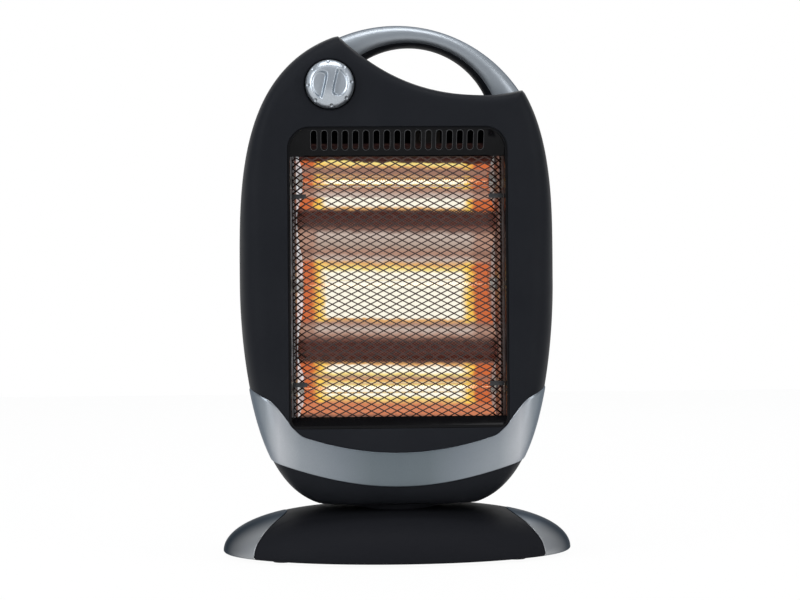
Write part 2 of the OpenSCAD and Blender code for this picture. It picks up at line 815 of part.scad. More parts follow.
module lamp_bracket_left() {
    mirror([1, 0, 0]) lamp_bracket_right();
}

module bracket_screws() {
    color(steel) for (x = [-bracket_screw_x, bracket_screw_x], z = bracket_screw_z)
        translate([x, -16.5, z]) rotate([90, 0, 0]) screw(1.5, 12, 3, 1.8);
}

module lamp_tube(z) {
    color("#f4efe2") difference() {
        rod_x(lamp_y, z, lamp_r, -lamp_half, lamp_half);
        rod_x(lamp_y, z, lamp_r - 1, -lamp_half - 1, lamp_half + 1);
    }
}

module lamp_tube_upper() { lamp_tube(lamp_levels[0]); }
module lamp_tube_middle() { lamp_tube(lamp_levels[1]); }
module lamp_tube_lower() { lamp_tube(lamp_levels[2]); }

module filament(z) {
    color("#ffb44a") {
        rod_x(lamp_y, z, 1.6, -76, 76);
        rod_x(lamp_y, z, lead_r, -91, -76);
        rod_x(lamp_y, z, lead_r, 76, 91);
    }
}

module filament_upper() { filament(lamp_levels[0]); }
module filament_middle() { filament(lamp_levels[1]); }
module filament_lower() { filament(lamp_levels[2]); }

module lamp_end_caps() {
    color(white_ceramic) at_mirrored_x() for (z = lamp_levels) difference() {
        union() {
            rod_x(lamp_y, z, 6.2, 85, bracket_x);
            rod_x(lamp_y, z, 3, bracket_x - 1, 104.5);
        }
        rod_x(lamp_y, z, lamp_r, 84, lamp_half);
        rod_x(lamp_y, z, lead_r, 84, 110);
    }
}

module lamp_clips() {
    color(steel) at_mirrored_x() for (z = lamp_levels) difference() {
        rod_x(lamp_y, z, 6, bracket_x + 1.5, bracket_x + 2.3);
        rod_x(lamp_y, z, 3, 90, 110);
    }
}

// ---------------------------------------------------------------- controls and wiring

module thermal_cutout() {
    color("#3a3a3c") {
        rod_y(30, 385, 8, -20, -10);
        translate([18, -10, 379]) cube([24, 2, 12]);
    }
    color(steel) translate([18, shield_y + 1, 366]) cube([24, 1, 14]);
}

module rotary_switch() {
    body_y = seat_y + 3;
    color("#2c2c30") difference() {
        union() {
            rod_y(knob_x, knob_z, 5, seat_y - 0.5, body_y + 1);
            translate([knob_x - 13, body_y, knob_z - 13]) cube([26, 24, 26]);
            for (x = [-10, 0, 10]) translate([knob_x + x - 2, body_y + 24, knob_z - 8]) cube([4, 8, 1]);
        }
        rod_y(knob_x, knob_z, 3 + running_fit, seat_y - 2, body_y + 14);
    }
}

module switch_shaft() {
    color(steel) rod_y(knob_x, knob_z, 3, seat_y - 11, seat_y + 16);
}

module knob() {
    r = knob_dia / 2;
    back = seat_y - 1;
    crown = 15;
    color(silver) translate([knob_x, back, knob_z]) rotate([90, 0, 0]) difference() {
        rotate_extrude($fn = 96) polygon(concat(
            [[0, 0], [r - 0.6, 0], [r, 0.6]],
            [for (i = [0:12]) [r * cos(i * 7.5), 4 + (crown - 4) * sin(i * 7.5)]]));
        rotate([0, 0, -13.4]) for (side = [0, 180]) rotate([0, 0, side]) translate([0, 0, 6.5])
            intersection() {
                cylinder(r = 14.6, h = 12, $fn = 72);
                translate([2.8, -20, 0]) cube([20, 40, 12]);
            }
        for (i = [0:7]) rotate([0, 0, 4 + 45 * i]) translate([r - 2.3, 0, 8])
            cylinder(r = 1.7, h = 8, $fn = 24);
        translate([0, 0, -1]) cylinder(r = 3, h = 11);
    }
}

module head_wiring() {
    bus = [105, -46];
    lug_y = -36;
    lug_z = knob_z - 8;
    color("#8c8c90") {
        wire([[0, 0, 66], [0, -4, 70], [0, -8, 78], [-30, -30, 92], [-105, -9, 112], [-109, -5, 150],
            [-109, -5, 340], [-108, -12, 384], [-71, lug_y, 408], [-71, lug_y, lug_z]], 1.8);
        wire([[0, -11, 82], [34, -30, 92], [102, -24, 116], [bus[0], bus[1], 146],
            [bus[0], bus[1], lamp_levels[0]]], 1.5);
        wire([[-bus[0], bus[1], lamp_levels[2]], [-bus[0], bus[1], lamp_levels[0]], [-bus[0], -36, 370],
            [-88, -32, 386], [-61, lug_y, 408], [-61, lug_y, lug_z]], 1.5);
        at_mirrored_x() for (z = lamp_levels)
            wire([[bus[0], bus[1], z], [bus[0] + 3, bus[1] + 6, z], [bus[0] + 3, lamp_y, z],
                [104.5, lamp_y, z]], 1);
    }
}

// ---------------------------------------------------------------- neck and swing drive

module neck_flange() {
    color(steel) translate([0, 0, flange_z]) difference() {
        cylinder(r = flange_r, h = flange_t, $fn = 96);
        translate([0, 0, -1]) cylinder(r = bush_r, h = 5);
        for (a = [45:90:315]) rotate([0, 0, a]) translate([flange_screw_r, 0, -1]) cylinder(r = 2, h = 5);
    }
}

module neck_bush() {
    color(nylon) difference() {
        union() {
            translate([0, 0, head_floor_z + 0.5])
                cylinder(r = bush_r, h = flange_z + flange_t - head_floor_z - 0.5);
            translate([0, 0, flange_z + flange_t])
                cylinder(r = bush_r + 4, h = bush_top_z - flange_z - flange_t);
        }
        cylinder(r = post_r + running_fit, h = 100);
    }
}

module neck_screws() {
    color(steel) for (a = [45:90:315]) rotate([0, 0, a])
        translate([flange_screw_r, 0, flange_z + flange_t]) rotate([180, 0, 0])
            screw(2, flange_t + wall, 3.8, 2.4);
}

module motor_bracket() {
    half_w = 47;
    plate = 2;
    leg_d = 12;
    leg_y = bracket_foot[1] - leg_d / 2;
    color(steel) difference() {
        union() {
            translate([-half_w, crank_y - 20, motor_z - plate]) cube([2 * half_w, 40, plate]);
            at_mirrored_x() {
                translate([half_w - plate, leg_y, flange_z])
                    cube([plate, leg_d, motor_z - flange_z]);
                translate([half_w - 11, leg_y, flange_z]) cube([10, leg_d, bracket_foot_t]);
            }
        }
        at_mirrored_x() translate([bracket_foot[0], bracket_foot[1], 0])
            cylinder(r = screw_hole_r, h = 60);
        translate([0, crank_y, 0]) cylinder(r = 8, h = 200);
        for (x = motor_screw_x) translate([x, crank_y, 0]) cylinder(r = screw_hole_r, h = 200);
    }
}

module swing_motor() {
    color("#a9a9a4") translate([0, crank_y, motor_z]) difference() {
        union() {
            cylinder(r = motor_r, h = motor_h);
            translate([-38, -5, 0]) cube([76, 10, motor_ear_t]);
        }
        translate([0, 0, -1]) cylinder(r = motor_shaft_r + running_fit, h = 7);
        for (x = motor_screw_x) translate([x, 0, -1]) cylinder(r = screw_hole_r, h = 4);
    }
}

module motor_screws() {
    color(steel) for (x = motor_screw_x)
        translate([x, crank_y, motor_z + motor_ear_t]) rotate([180, 0, 0]) screw(screw_hole_r, 6, 3.2, 1.8);
    color(steel) at_mirrored_x() translate([bracket_foot[0], bracket_foot[1], flange_z + bracket_foot_t])
        rotate([180, 0, 0]) screw(screw_hole_r, bracket_foot_t + wall, 3.2, 1.8);
}

module motor_shaft() {
    color(steel) translate([0, crank_y, crank_z]) cylinder(r = motor_shaft_r, h = motor_z + 5 - crank_z);
}

module swing_crank() {
    color("#3f4144") translate([0, crank_y, 0]) difference() {
        union() {
            translate([0, 0, crank_z]) cylinder(r = 18, h = crank_t);
            translate([0, crank_r, plate_z + 0.2]) cylinder(r = pin_r, h = crank_z - plate_z);
        }
        translate([0, 0, crank_z - 1]) cylinder(r = motor_shaft_r, h = 10);
    }
}

base_cover();
base_end_cap_left();
base_end_cap_right();
base_plate();
rubber_feet();
base_screws();
turntable_ring();
glide_ring();
swivel_post();
retaining_washer();
swing_plate();
retaining_nut();
tip_switch_body();
tip_plunger();
tip_spring();
cord_gland();
terminal_block();
base_wiring();
front_housing();
rear_housing();
trim_band();
window_frame();
grille();
grille_clips();
reflector();
reflector_side_left();
reflector_side_right();
heat_shield();
lamp_bracket_left();
lamp_bracket_right();
bracket_screws();
lamp_tube_upper();
lamp_tube_middle();
lamp_tube_lower();
filament_upper();
filament_middle();
filament_lower();
lamp_end_caps();
lamp_clips();
thermal_cutout();
rotary_switch();
switch_shaft();
knob();
head_wiring();
handle();
handle_underside();
handle_screws();
housing_screws();
neck_flange();
neck_bush();
neck_screws();
motor_bracket();
swing_motor();
motor_screws();
motor_shaft();
swing_crank();
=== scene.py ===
"""Looks of the halogen heater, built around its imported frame.

Shapes are worked out in millimetres, in the frame's own axes, and written to Blender in metres:
+Z up, the lamps face -Y, +X is to the right of someone looking at the lit window.
"""
import json
import math

import bmesh
import bpy
import numpy as np
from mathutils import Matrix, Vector

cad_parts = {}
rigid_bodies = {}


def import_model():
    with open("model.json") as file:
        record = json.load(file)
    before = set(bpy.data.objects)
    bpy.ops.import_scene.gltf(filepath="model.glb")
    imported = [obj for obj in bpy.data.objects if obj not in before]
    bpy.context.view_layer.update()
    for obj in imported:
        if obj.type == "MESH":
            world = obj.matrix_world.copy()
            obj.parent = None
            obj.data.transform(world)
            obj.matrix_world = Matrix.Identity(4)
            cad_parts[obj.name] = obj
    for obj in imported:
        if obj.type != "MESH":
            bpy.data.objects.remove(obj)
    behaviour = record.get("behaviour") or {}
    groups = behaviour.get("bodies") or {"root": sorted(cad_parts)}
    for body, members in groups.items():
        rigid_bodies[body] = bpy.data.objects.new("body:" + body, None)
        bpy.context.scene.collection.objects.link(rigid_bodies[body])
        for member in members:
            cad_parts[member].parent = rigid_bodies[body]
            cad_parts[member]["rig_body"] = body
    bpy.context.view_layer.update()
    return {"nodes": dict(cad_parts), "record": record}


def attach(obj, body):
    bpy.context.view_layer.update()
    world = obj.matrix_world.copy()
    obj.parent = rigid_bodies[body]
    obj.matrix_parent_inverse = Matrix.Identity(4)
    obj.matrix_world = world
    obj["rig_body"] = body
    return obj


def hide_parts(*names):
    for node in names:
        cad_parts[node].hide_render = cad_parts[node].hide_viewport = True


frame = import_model()
nodes = frame["nodes"]
MM = 0.001

# ------------------------------------------------------------------ sizes, in millimetres

HEAD_W, HEAD_MID_Z, HEAD_UP, HEAD_LOW = 287, 249.4, 231.9, 205.8
OVAL_UP = (2.45, 3.16)
OVAL_LOW = (4.36, 1.86)
FLOOR_Z = 50.5
FRONT_D, REAR_D, WALL = 72, 58, 2.5
FRONT_FLAT, REAR_FLAT, FLAT_POWER = (104, 141), (80, 130), 10
EDGE_SIDE, EDGE_TOP = 3.5, 7
SADDLE_X, SADDLE_Z, SADDLE_LEFT, SADDLE_POWER, SADDLE_RIGHT = 84.2, 420, 25.7, 2.42, 0.03
CORNER_RAYS = (55.93, 103.46, 249.72, 290.28, 415.93)
RAYS_BETWEEN = (70, 150, 50, 140)

WINDOW_W, WINDOW_H, WINDOW_Z = 196.4, 269.2, 255.2
WINDOW_R_TOP, WINDOW_R_LOW = 20, 8

KNOB_X, KNOB_Z, KNOB_R, SEAT_Y = -60, 427.5, 21.7, -68
POCKET_R = 23.0

HANDLE_TOP = (2.4, 351.5, 137.9, 116, 32)
HANDLE_UNDER = (14, 391.2, 77.9, 127, 19)
HANDLE_DEPTH, HANDLE_POWER, HANDLE_SEAM = 34, 2.3, -40

GRILLE_Y, GRILLE_T, GRILLE_HALF = -60, 0.8, 84
GRILLE_LOW, GRILLE_HIGH = 127, 363.8
MESH_W, MESH_H, STRAND = 11.5, 6, 1.1
GRILLE_SIDE_W, GRILLE_TURN = 15, 46

LAMP_Y, LAMP_MID, LAMP_PITCH = -32, 249, 94
TROUGH_HALF = (34, 60, 34)
RIDGE_Y, TROUGH_Y, SHEET = -42, -16, 0.8
SIDE_BACK, SIDE_FRONT = (84.1, -18), (92.2, -48.4)

BASE_W, BASE_D, BASE_TOP, RIM_Z = 322, 204, 46.1, 5
BASE_PX, BASE_PZ = 3.05, 2
SPLIT_X, SPLIT_R, RING_R = 102, 74.5, 40

# ------------------------------------------------------------------ shader helpers


def shader(mat):
    """A material's node tree and its Principled node."""
    return mat.node_tree, mat.node_tree.nodes["Principled BSDF"]


def feed(tree, source, socket):
    """Links a (node, output) pair to a socket."""
    tree.links.new(source[0].outputs[source[1]], socket)


def math_node(tree, op, a, b=None):
    """A Math node. Its inputs are numbers or (node, output) pairs."""
    node = tree.nodes.new("ShaderNodeMath")
    node.operation = op
    for k, v in enumerate((a, b)):
        if isinstance(v, tuple):
            feed(tree, v, node.inputs[k])
        elif v is not None:
            node.inputs[k].default_value = v
    return (node, 0)


def map_range(tree, value, low, high, to_low=0.0, to_high=1.0, smooth_it=True):
    node = tree.nodes.new("ShaderNodeMapRange")
    node.interpolation_type = "SMOOTHSTEP" if smooth_it else "LINEAR"
    feed(tree, value, node.inputs["Value"])
    for key, v in (("From Min", low), ("From Max", high), ("To Min", to_low), ("To Max", to_high)):
        node.inputs[key].default_value = v
    return (node, "Result")


def mix_colour(tree, fac, a, b, blend="MIX"):
    """A mix of two colours or (node, output) pairs, by a number or a pair."""
    node = tree.nodes.new("ShaderNodeMix")
    node.data_type, node.blend_type = "RGBA", blend
    if isinstance(fac, tuple):
        feed(tree, fac, node.inputs[0])
    else:
        node.inputs[0].default_value = fac
    for socket, v in ((node.inputs[6], a), (node.inputs[7], b)):
        if isinstance(v[0], bpy.types.Node):
            feed(tree, v, socket)
        else:
            socket.default_value = (*v, 1)
    return (node, 2)


def ramp(tree, source, stops):
    """A colour ramp over a (node, output) pair."""
    node = tree.nodes.new("ShaderNodeValToRGB")
    elements = node.color_ramp.elements
    while len(elements) < len(stops):
        elements.new(0.5)
    for element, (place, colour) in zip(elements, stops):
        element.position = place
        element.color = (*colour, 1)
    feed(tree, source, node.inputs["Fac"])
    return (node, "Color")


def noise(tree, size_mm, detail, stretch=(1, 1, 1)):
    """Noise in object space, whose features are about size_mm across."""
    coord = tree.nodes.new("ShaderNodeTexCoord")
    mapping = tree.nodes.new("ShaderNodeMapping")
    mapping.inputs["Scale"].default_value = stretch
    feed(tree, (coord, "Object"), mapping.inputs["Vector"])
    tex = tree.nodes.new("ShaderNodeTexNoise")
    tex.inputs["Scale"].default_value = 1 / (size_mm * MM)
    tex.inputs["Detail"].default_value = detail
    feed(tree, (mapping, "Vector"), tex.inputs["Vector"])
    return (tex, "Fac")


def object_place(tree):
    """X, Y and Z of the shaded point in object space, in metres."""
    coord = tree.nodes.new("ShaderNodeTexCoord")
    split = tree.nodes.new("ShaderNodeSeparateXYZ")
    feed(tree, (coord, "Object"), split.inputs["Vector"])
    return (split, "X"), (split, "Y"), (split, "Z")


def from_middle(tree, value, middle=0.0):
    """How far a value is from a middle, to either side."""
    return math_node(tree, "ABSOLUTE", math_node(tree, "SUBTRACT", value, middle))


# ------------------------------------------------------------------ camera, light, floor


def look_at(obj, target):
    obj.rotation_euler = (Vector(target) - obj.location).to_track_quat("-Z", "Y").to_euler()


def put(name, data):
    """A new object of the scene."""
    obj = bpy.data.objects.new(name, data)
    bpy.context.scene.collection.objects.link(obj)
    return obj


def add_camera():
    """Level with the window's lower half, a little to the heater's left."""
    azimuth, distance, target = math.radians(-2.5), 1.75, Vector((0.0042, 0, 0.235))
    roll = -0.008
    data = bpy.data.cameras.new("camera")
    data.sensor_width, data.lens = 36, 84.7
    data.clip_start, data.clip_end = 0.05, 50
    camera = put("camera", data)
    camera.location = target + distance * Vector((math.sin(azimuth), -math.cos(azimuth), 0))
    look_at(camera, target)
    camera.rotation_euler.rotate_axis("Z", roll)
    bpy.context.scene.camera = camera


def add_area(name, place, target, size, watts, colour=(1, 1, 1)):
    data = bpy.data.lights.new(name, "AREA")
    data.shape, data.size, data.size_y = "RECTANGLE", size[0], size[1]
    data.energy, data.color = watts, colour
    lamp = put(name, data)
    lamp.location = place
    look_at(lamp, target)


def seen_white(tree, lit, share):
    """Shader that is white, by that share, to the camera, in mirrors and through glass, and lit elsewhere."""
    path = tree.nodes.new("ShaderNodeLightPath")
    either = math_node(tree, "MAXIMUM", (path, "Is Glossy Ray"), (path, "Is Transmission Ray"))
    seen = math_node(tree, "MAXIMUM", (path, "Is Camera Ray"), either)
    white = tree.nodes.new("ShaderNodeEmission")
    white.inputs[0].default_value = (1, 1, 1, 1)
    mix = tree.nodes.new("ShaderNodeMixShader")
    for k, source in enumerate((math_node(tree, "MULTIPLY", seen, share), (lit, 0), (white, 0))):
        feed(tree, source, mix.inputs[k])
    return (mix, 0)


def add_world():
    world = bpy.data.worlds.new("studio")
    bpy.context.scene.world = world
    world.use_nodes = True
    tree = world.node_tree
    tree.nodes.clear()
    lit = tree.nodes.new("ShaderNodeBackground")
    lit.inputs[0].default_value = (0.92, 0.95, 1.0, 1)
    lit.inputs[1].default_value = 0.55
    out = tree.nodes.new("ShaderNodeOutputWorld")
    tree.links.new(lit.outputs[0], out.inputs[0])


def add_floor():
    half = 4.0
    studio_sheet("floor", [(-half, -half, 0), (half, -half, 0), (half, half, 0), (-half, half, 0)], 0.96)


def add_backdrop():
    y, half, top = 3.0, 6.0, 5.0
    studio_sheet("backdrop", [(-half, y, 0), (half, y, 0), (half, y, top), (-half, y, top)], 1.0)


def studio_sheet(name, corners, share):
    """A white sheet of the studio, seen as white by that share."""
    mesh = bpy.data.meshes.new(name)
    mesh.from_pydata(corners, [], [(0, 1, 2, 3)])
    sheet = put(name, mesh)
    mat = bpy.data.materials.new(name + "_white")
    mat.use_nodes = True
    tree, bsdf = shader(mat)
    bsdf.inputs["Base Color"].default_value = (0.9, 0.9, 0.9, 1)
    bsdf.inputs["Roughness"].default_value = 0.9
    feed(tree, seen_white(tree, bsdf, share), tree.nodes["Material Output"].inputs[0])
    mesh.materials.append(mat)


add_camera()
add_world()
add_floor()
add_backdrop()
bpy.context.scene.view_settings.view_transform = "Standard"
add_area("left", (-1.5, -1.05, 0.9), (0, 0, 0.3), (0.7, 1.5), 16, (0.94, 0.97, 1.0))
add_area("right", (1.4, -1.1, 0.8), (0, 0, 0.3), (0.5, 1.4), 9)
add_area("top", (0.0, -0.2, 2.1), (0, 0, 0.25), (1.6, 0.7), 18)
add_area("rear", (0.3, 1.9, 1.4), (0, 0, 0.3), (1.6, 1.0), 8)

# ------------------------------------------------------------------ materials


def material(name, colour, rough, metal=0.0, **more):
    """A Principled material. more sets sockets by name, with _ for a space."""
    mat = bpy.data.materials.new(name)
    mat.use_nodes = True
    _, bsdf = shader(mat)
    bsdf.inputs["Base Color"].default_value = (*colour, 1)
    bsdf.inputs["Roughness"].default_value = rough
    bsdf.inputs["Metallic"].default_value = metal
    for key, value in more.items():
        bsdf.inputs[key.replace("_", " ")].default_value = value
    return mat


def textured(mat, tint=None, shine=None, grain=None):
    """Varies a material. tint is (size, dark, light), shine (size, low, high) and grain
    (size, height, strength), with sizes and heights in millimetres."""
    tree, bsdf = shader(mat)
    if tint:
        size_mm, dark, light = tint
        tints = [(0.3, dark), (0.7, light)]
        feed(tree, ramp(tree, noise(tree, size_mm, 2), tints), bsdf.inputs["Base Color"])
    if shine:
        size_mm, low, high = shine
        greys = [(0.3, (low,) * 3), (0.7, (high,) * 3)]
        feed(tree, ramp(tree, noise(tree, size_mm, 3), greys), bsdf.inputs["Roughness"])
    if grain:
        size_mm, height_mm, strength = grain
        bump = tree.nodes.new("ShaderNodeBump")
        bump.inputs["Strength"].default_value = strength
        bump.inputs["Distance"].default_value = height_mm * MM
        feed(tree, noise(tree, size_mm, 2), bump.inputs["Height"])
        feed(tree, (bump, "Normal"), bsdf.inputs["Normal"])
    return mat


def satin_silver(name, dark, light, rough):
    """Silver lacquer: metallic flake that darkens at grazing angles."""
    mat = material(name, light, rough, 0.92, Specular_Tint=(0.35, 0.38, 0.42, 1), Specular_IOR_Level=0.3)
    return textured(mat, (0.6, dark, light), (22, rough - 0.03, rough + 0.04), (0.4, 0.01, 0.2))


def lacquer_of(bsdf):
    """What feeds a material's colour, as a (node, output) pair."""
    return (bsdf.inputs["Base Color"].links[0].from_node, "Color")


def past_arc(tree, x, z, arc):
    """How far the shaded point is outside an arc's circle, in metres."""
    along = [math_node(tree, "SUBTRACT", place, middle * MM) for place, middle in ((x, arc[0]), (z, arc[1]))]
    squares = [math_node(tree, "MULTIPLY", d, d) for d in along]
    out = math_node(tree, "SQRT", math_node(tree, "ADD", *squares))
    return math_node(tree, "SUBTRACT", out, arc[2] * MM)


def handle_silver():
    """Silver lacquer with painted shade: a dark top edge, and a fade to black towards the handle's underside.
    """
    fade_from, fade_to, edge_from, edge_to = -1.4, 1.4, -2.8, -0.6
    mat = satin_silver("handle_silver", (0.315, 0.345, 0.375), (0.365, 0.395, 0.425), 0.44)
    tree, bsdf = shader(mat)
    x, _, z = object_place(tree)
    # Painted shade: the lacquer fades to black towards the underside arc.
    fade = map_range(tree, past_arc(tree, x, z, HANDLE_UNDER), fade_from * MM, fade_to * MM)
    # Painted shade: a dark line along the top edge.
    top_edge_shade = map_range(tree, past_arc(tree, x, z, HANDLE_TOP), edge_from * MM, edge_to * MM)
    top_shaded = mix_colour(tree, top_edge_shade, lacquer_of(bsdf), (0.06, 0.07, 0.085))
    feed(tree, mix_colour(tree, fade, (0.004, 0.0045, 0.005), top_shaded), bsdf.inputs["Base Color"])
    return mat


def band_silver():
    """Silver lacquer of the band with painted light: painted shade in its middle and at its outer ends, and a
    painted highlight where it turns to the sides.
    """
    mat = satin_silver("band_silver", (0.9, 0.9, 0.9), (1, 1, 1), 0.34)
    tree, bsdf = shader(mat)
    x, _, _ = object_place(tree)
    across = map_range(tree, from_middle(tree, x), 0, 140 * MM, smooth_it=False)
    # Painted highlight and shade across the band, by the distance from its middle.
    tint = ramp(tree, across, [
        (0, (0.15, 0.18, 0.2)), (0.18, (0.16, 0.19, 0.21)), (0.4, (0.23, 0.26, 0.29)),
        (0.63, (0.31, 0.34, 0.37)), (0.77, (0.5, 0.52, 0.55)), (0.86, (0.27, 0.3, 0.33)),
        (0.97, (0.19, 0.22, 0.25))])
    feed(tree, mix_colour(tree, 1, tint, lacquer_of(bsdf), "MULTIPLY"), bsdf.inputs["Base Color"])
    return mat


def cap_silver():
    """Dark silver lacquer of the end caps, with painted light where they turn to the front and to the back.
    """
    mat = satin_silver("dark_silver", (0.027, 0.031, 0.035), (0.035, 0.039, 0.043), 0.38)
    tree, bsdf = shader(mat)
    _, y, _ = object_place(tree)
    # Painted light: the caps turn lighter towards the front and the back.
    painted_light_share = map_range(tree, from_middle(tree, y), 16 * MM, 60 * MM)
    feed(tree, mix_colour(tree, painted_light_share, lacquer_of(bsdf), (0.33, 0.34, 0.35)), bsdf.inputs["Base Color"])
    return mat


def set_material(mesh, mat):
    mesh.materials.clear()
    mesh.materials.append(mat)


M = {
    "black_plastic": textured(
        material("moulded_black", (0.0132, 0.0142, 0.017), 0.45, Specular_IOR_Level=0.03),
        (60, (0.0122, 0.0132, 0.016), (0.0142, 0.0152, 0.018)), (25, 0.43, 0.5), (0.55, 0.02, 0.25)),
    "base_black": textured(
        material("base_black", (0.0118, 0.0123, 0.0148), 0.5, Specular_IOR_Level=0.02),
        shine=(30, 0.48, 0.55), grain=(0.6, 0.02, 0.3)),
    "window_black": textured(
        material("gloss_black", (0.004, 0.004, 0.0046), 0.16, Specular_IOR_Level=0.1),
        shine=(18, 0.13, 0.2), grain=(9, 0.05, 0.15)),
    "silver_paint": satin_silver("satin_silver", (0.42, 0.46, 0.5), (0.5, 0.54, 0.58), 0.32),
    "band_silver": band_silver(),
    "handle_silver": handle_silver(),
    "dark_silver_paint": cap_silver(),
    "guard_black": textured(
        material("guard_black", (0.045, 0.024, 0.02), 0.38, 0.35),
        (5, (0.034, 0.018, 0.015), (0.056, 0.03, 0.026)), (3, 0.3, 0.5), (0.6, 0.04, 0.3)),
    "steel": textured(
        material("zinc_steel", (0.55, 0.56, 0.57), 0.34, 1.0),
        (8, (0.48, 0.49, 0.5), (0.62, 0.63, 0.64)), (6, 0.28, 0.45)),
    "dark_steel": textured(
        material("painted_plate", (0.03, 0.031, 0.033), 0.5),
        shine=(12, 0.45, 0.6), grain=(1.2, 0.03, 0.5)),
    "rubber": textured(
        material("rubber", (0.016, 0.016, 0.017), 0.75), shine=(4, 0.68, 0.85), grain=(0.8, 0.05, 0.5)),
    "nylon": textured(
        material("nylon", (0.72, 0.7, 0.64), 0.45, Subsurface_Weight=0.1), shine=(6, 0.4, 0.52)),
    "ceramic": textured(
        material("ceramic", (0.78, 0.75, 0.68), 0.5),
        (4, (0.7, 0.66, 0.58), (0.82, 0.8, 0.74)), grain=(1, 0.05, 0.4)),
    "switch_plastic": textured(
        material("switch_black", (0.02, 0.02, 0.021), 0.4), shine=(7, 0.35, 0.5)),
    "wire": textured(
        material("wire_sleeve", (0.3, 0.28, 0.26), 0.6),
        (10, (0.22, 0.2, 0.19), (0.36, 0.34, 0.32)), grain=(0.7, 0.05, 0.5)),
}

SLOT_OF = {entry["node"]: entry["material_slot"] for entry in frame["record"]["subparts"]}
for node, slot in SLOT_OF.items():
    if slot in M:
        set_material(nodes[node].data, M[slot])

# ------------------------------------------------------------------ mesh helpers


def raw_mesh(name, points, faces):
    mesh = bpy.data.meshes.new(name)
    mesh.from_pydata([tuple(p * MM for p in v) for v in np.asarray(points, float)], [], faces)
    return mesh


def turn_faces_out(mesh, weld=None):
    """Turns a mesh's faces outwards, once its points within the distance weld are one."""
    bm = bmesh.new()
    bm.from_mesh(mesh)
    if weld:
        bmesh.ops.remove_doubles(bm, verts=bm.verts, dist=weld)
    bmesh.ops.recalc_face_normals(bm, faces=bm.faces)
    bm.to_mesh(mesh)
    bm.free()


WELD = 1e-6


def new_piece(name, points, faces, mat, body, replaces, sharp=35):
    """A smooth mesh in millimetres that rides on a body and stands for the CAD nodes it replaces."""
    mesh = raw_mesh(name, points, faces)
    mesh.validate()
    turn_faces_out(mesh, WELD)
    smooth(mesh, sharp)
    mesh.materials.append(mat)
    piece = put(name, mesh)
    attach(piece, body)
    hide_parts(*replaces)
    return piece


def smooth(mesh, sharp):
    mesh.polygons.foreach_set("use_smooth", [True] * len(mesh.polygons))
    mesh.set_sharp_from_angle(angle=math.radians(sharp))


def grid_faces(rows, cols, close_cols=True, close_rows=False):
    faces = []
    for r in range(rows if close_rows else rows - 1):
        for c in range(cols if close_cols else cols - 1):
            a, b = r * cols + c, r * cols + (c + 1) % cols
            d, e = (r + 1) % rows * cols + c, (r + 1) % rows * cols + (c + 1) % cols
            faces.append((a, b, e, d))
    return faces


def capped_faces(rows, cols):
    """Faces of a grid that is closed round its columns, with its first and last rows filled in."""
    last = (rows - 1) * cols
    return grid_faces(rows, cols) + [tuple(range(cols)), tuple(range(last, last + cols))]


def apply_modifiers(piece):
    depsgraph = bpy.context.evaluated_depsgraph_get()
    mesh = bpy.data.meshes.new_from_object(piece.evaluated_get(depsgraph))
    old = piece.data
    piece.modifiers.clear()
    piece.data = mesh
    bpy.data.meshes.remove(old)


def cut(piece, cutter):
    """Takes cutter's solid out of piece."""
    mod = piece.modifiers.new("cut", "BOOLEAN")
    mod.operation, mod.solver, mod.object = "DIFFERENCE", "EXACT", cutter
    apply_modifiers(piece)
    bpy.data.objects.remove(cutter)


def loose(name, points, faces):
    """A mesh in millimetres that only cuts, and isn't kept."""
    mesh = raw_mesh(name, points, faces)
    turn_faces_out(mesh)
    return put(name, mesh)


def dressed(node, width, mat):
    """A copy of a CAD node with its edges rounded by width, in millimetres."""
    flat_angle, edge_angle, sharp = 0.5, 40, 30
    source = nodes[node]
    mesh = source.data.copy()
    bm = bmesh.new()
    bm.from_mesh(mesh)
    bmesh.ops.remove_doubles(bm, verts=bm.verts, dist=WELD)
    bmesh.ops.dissolve_limit(bm, angle_limit=math.radians(flat_angle), verts=bm.verts, edges=bm.edges)
    bm.to_mesh(mesh)
    bm.free()
    piece = put(node + "_dressed", mesh)
    mod = piece.modifiers.new("round", "BEVEL")
    mod.width, mod.segments = width * MM, 2
    mod.limit_method, mod.angle_limit = "ANGLE", math.radians(edge_angle)
    mod.harden_normals = False
    apply_modifiers(piece)
    smooth(piece.data, sharp)
    set_material(piece.data, mat)
    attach(piece, source["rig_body"])
    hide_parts(node)
    return piece


# ------------------------------------------------------------------ the head's shape


def spow(v, e):
    return np.sign(v) * np.abs(v) ** e


def saddle_z(x):
    left = SADDLE_Z + SADDLE_LEFT * (np.maximum(0, SADDLE_X - x) / 100) ** SADDLE_POWER
    return np.where(x < SADDLE_X, left, SADDLE_Z + SADDLE_RIGHT * np.maximum(0, x - SADDLE_X) ** 1.5)


# How much the corners between the oval and the saddle are rounded
TIP_ROUND = 0.5
# How steeply the oval counts in that, how much thicker the wall is under the saddle, and limits
OVAL_STEEP, SADDLE_WALL, TIP_SPAN = 45, 1.2, (-20, 60)
# Edges of the shells over this angle stay sharp, in degrees
SHELL_SHARP = 30


def in_head(x, z, d):
    """Inside the head's outline, drawn in by d: the oval, less what is over the saddle."""
    wide = np.abs(x) / (HEAD_W / 2 - d)
    up = wide ** OVAL_UP[0] + (np.maximum(0, z - HEAD_MID_Z) / (HEAD_UP - d)) ** OVAL_UP[1]
    low = wide ** OVAL_LOW[0] + (np.maximum(0, HEAD_MID_Z - z) / (HEAD_LOW - d)) ** OVAL_LOW[1]
    from_oval = np.clip((1 - np.where(z > HEAD_MID_Z, up, low)) * OVAL_STEEP, *TIP_SPAN)
    from_saddle = np.clip(saddle_z(x) - SADDLE_WALL * d - z, *TIP_SPAN)
    return np.exp(-from_oval / TIP_ROUND) + np.exp(-from_saddle / TIP_ROUND) < 1


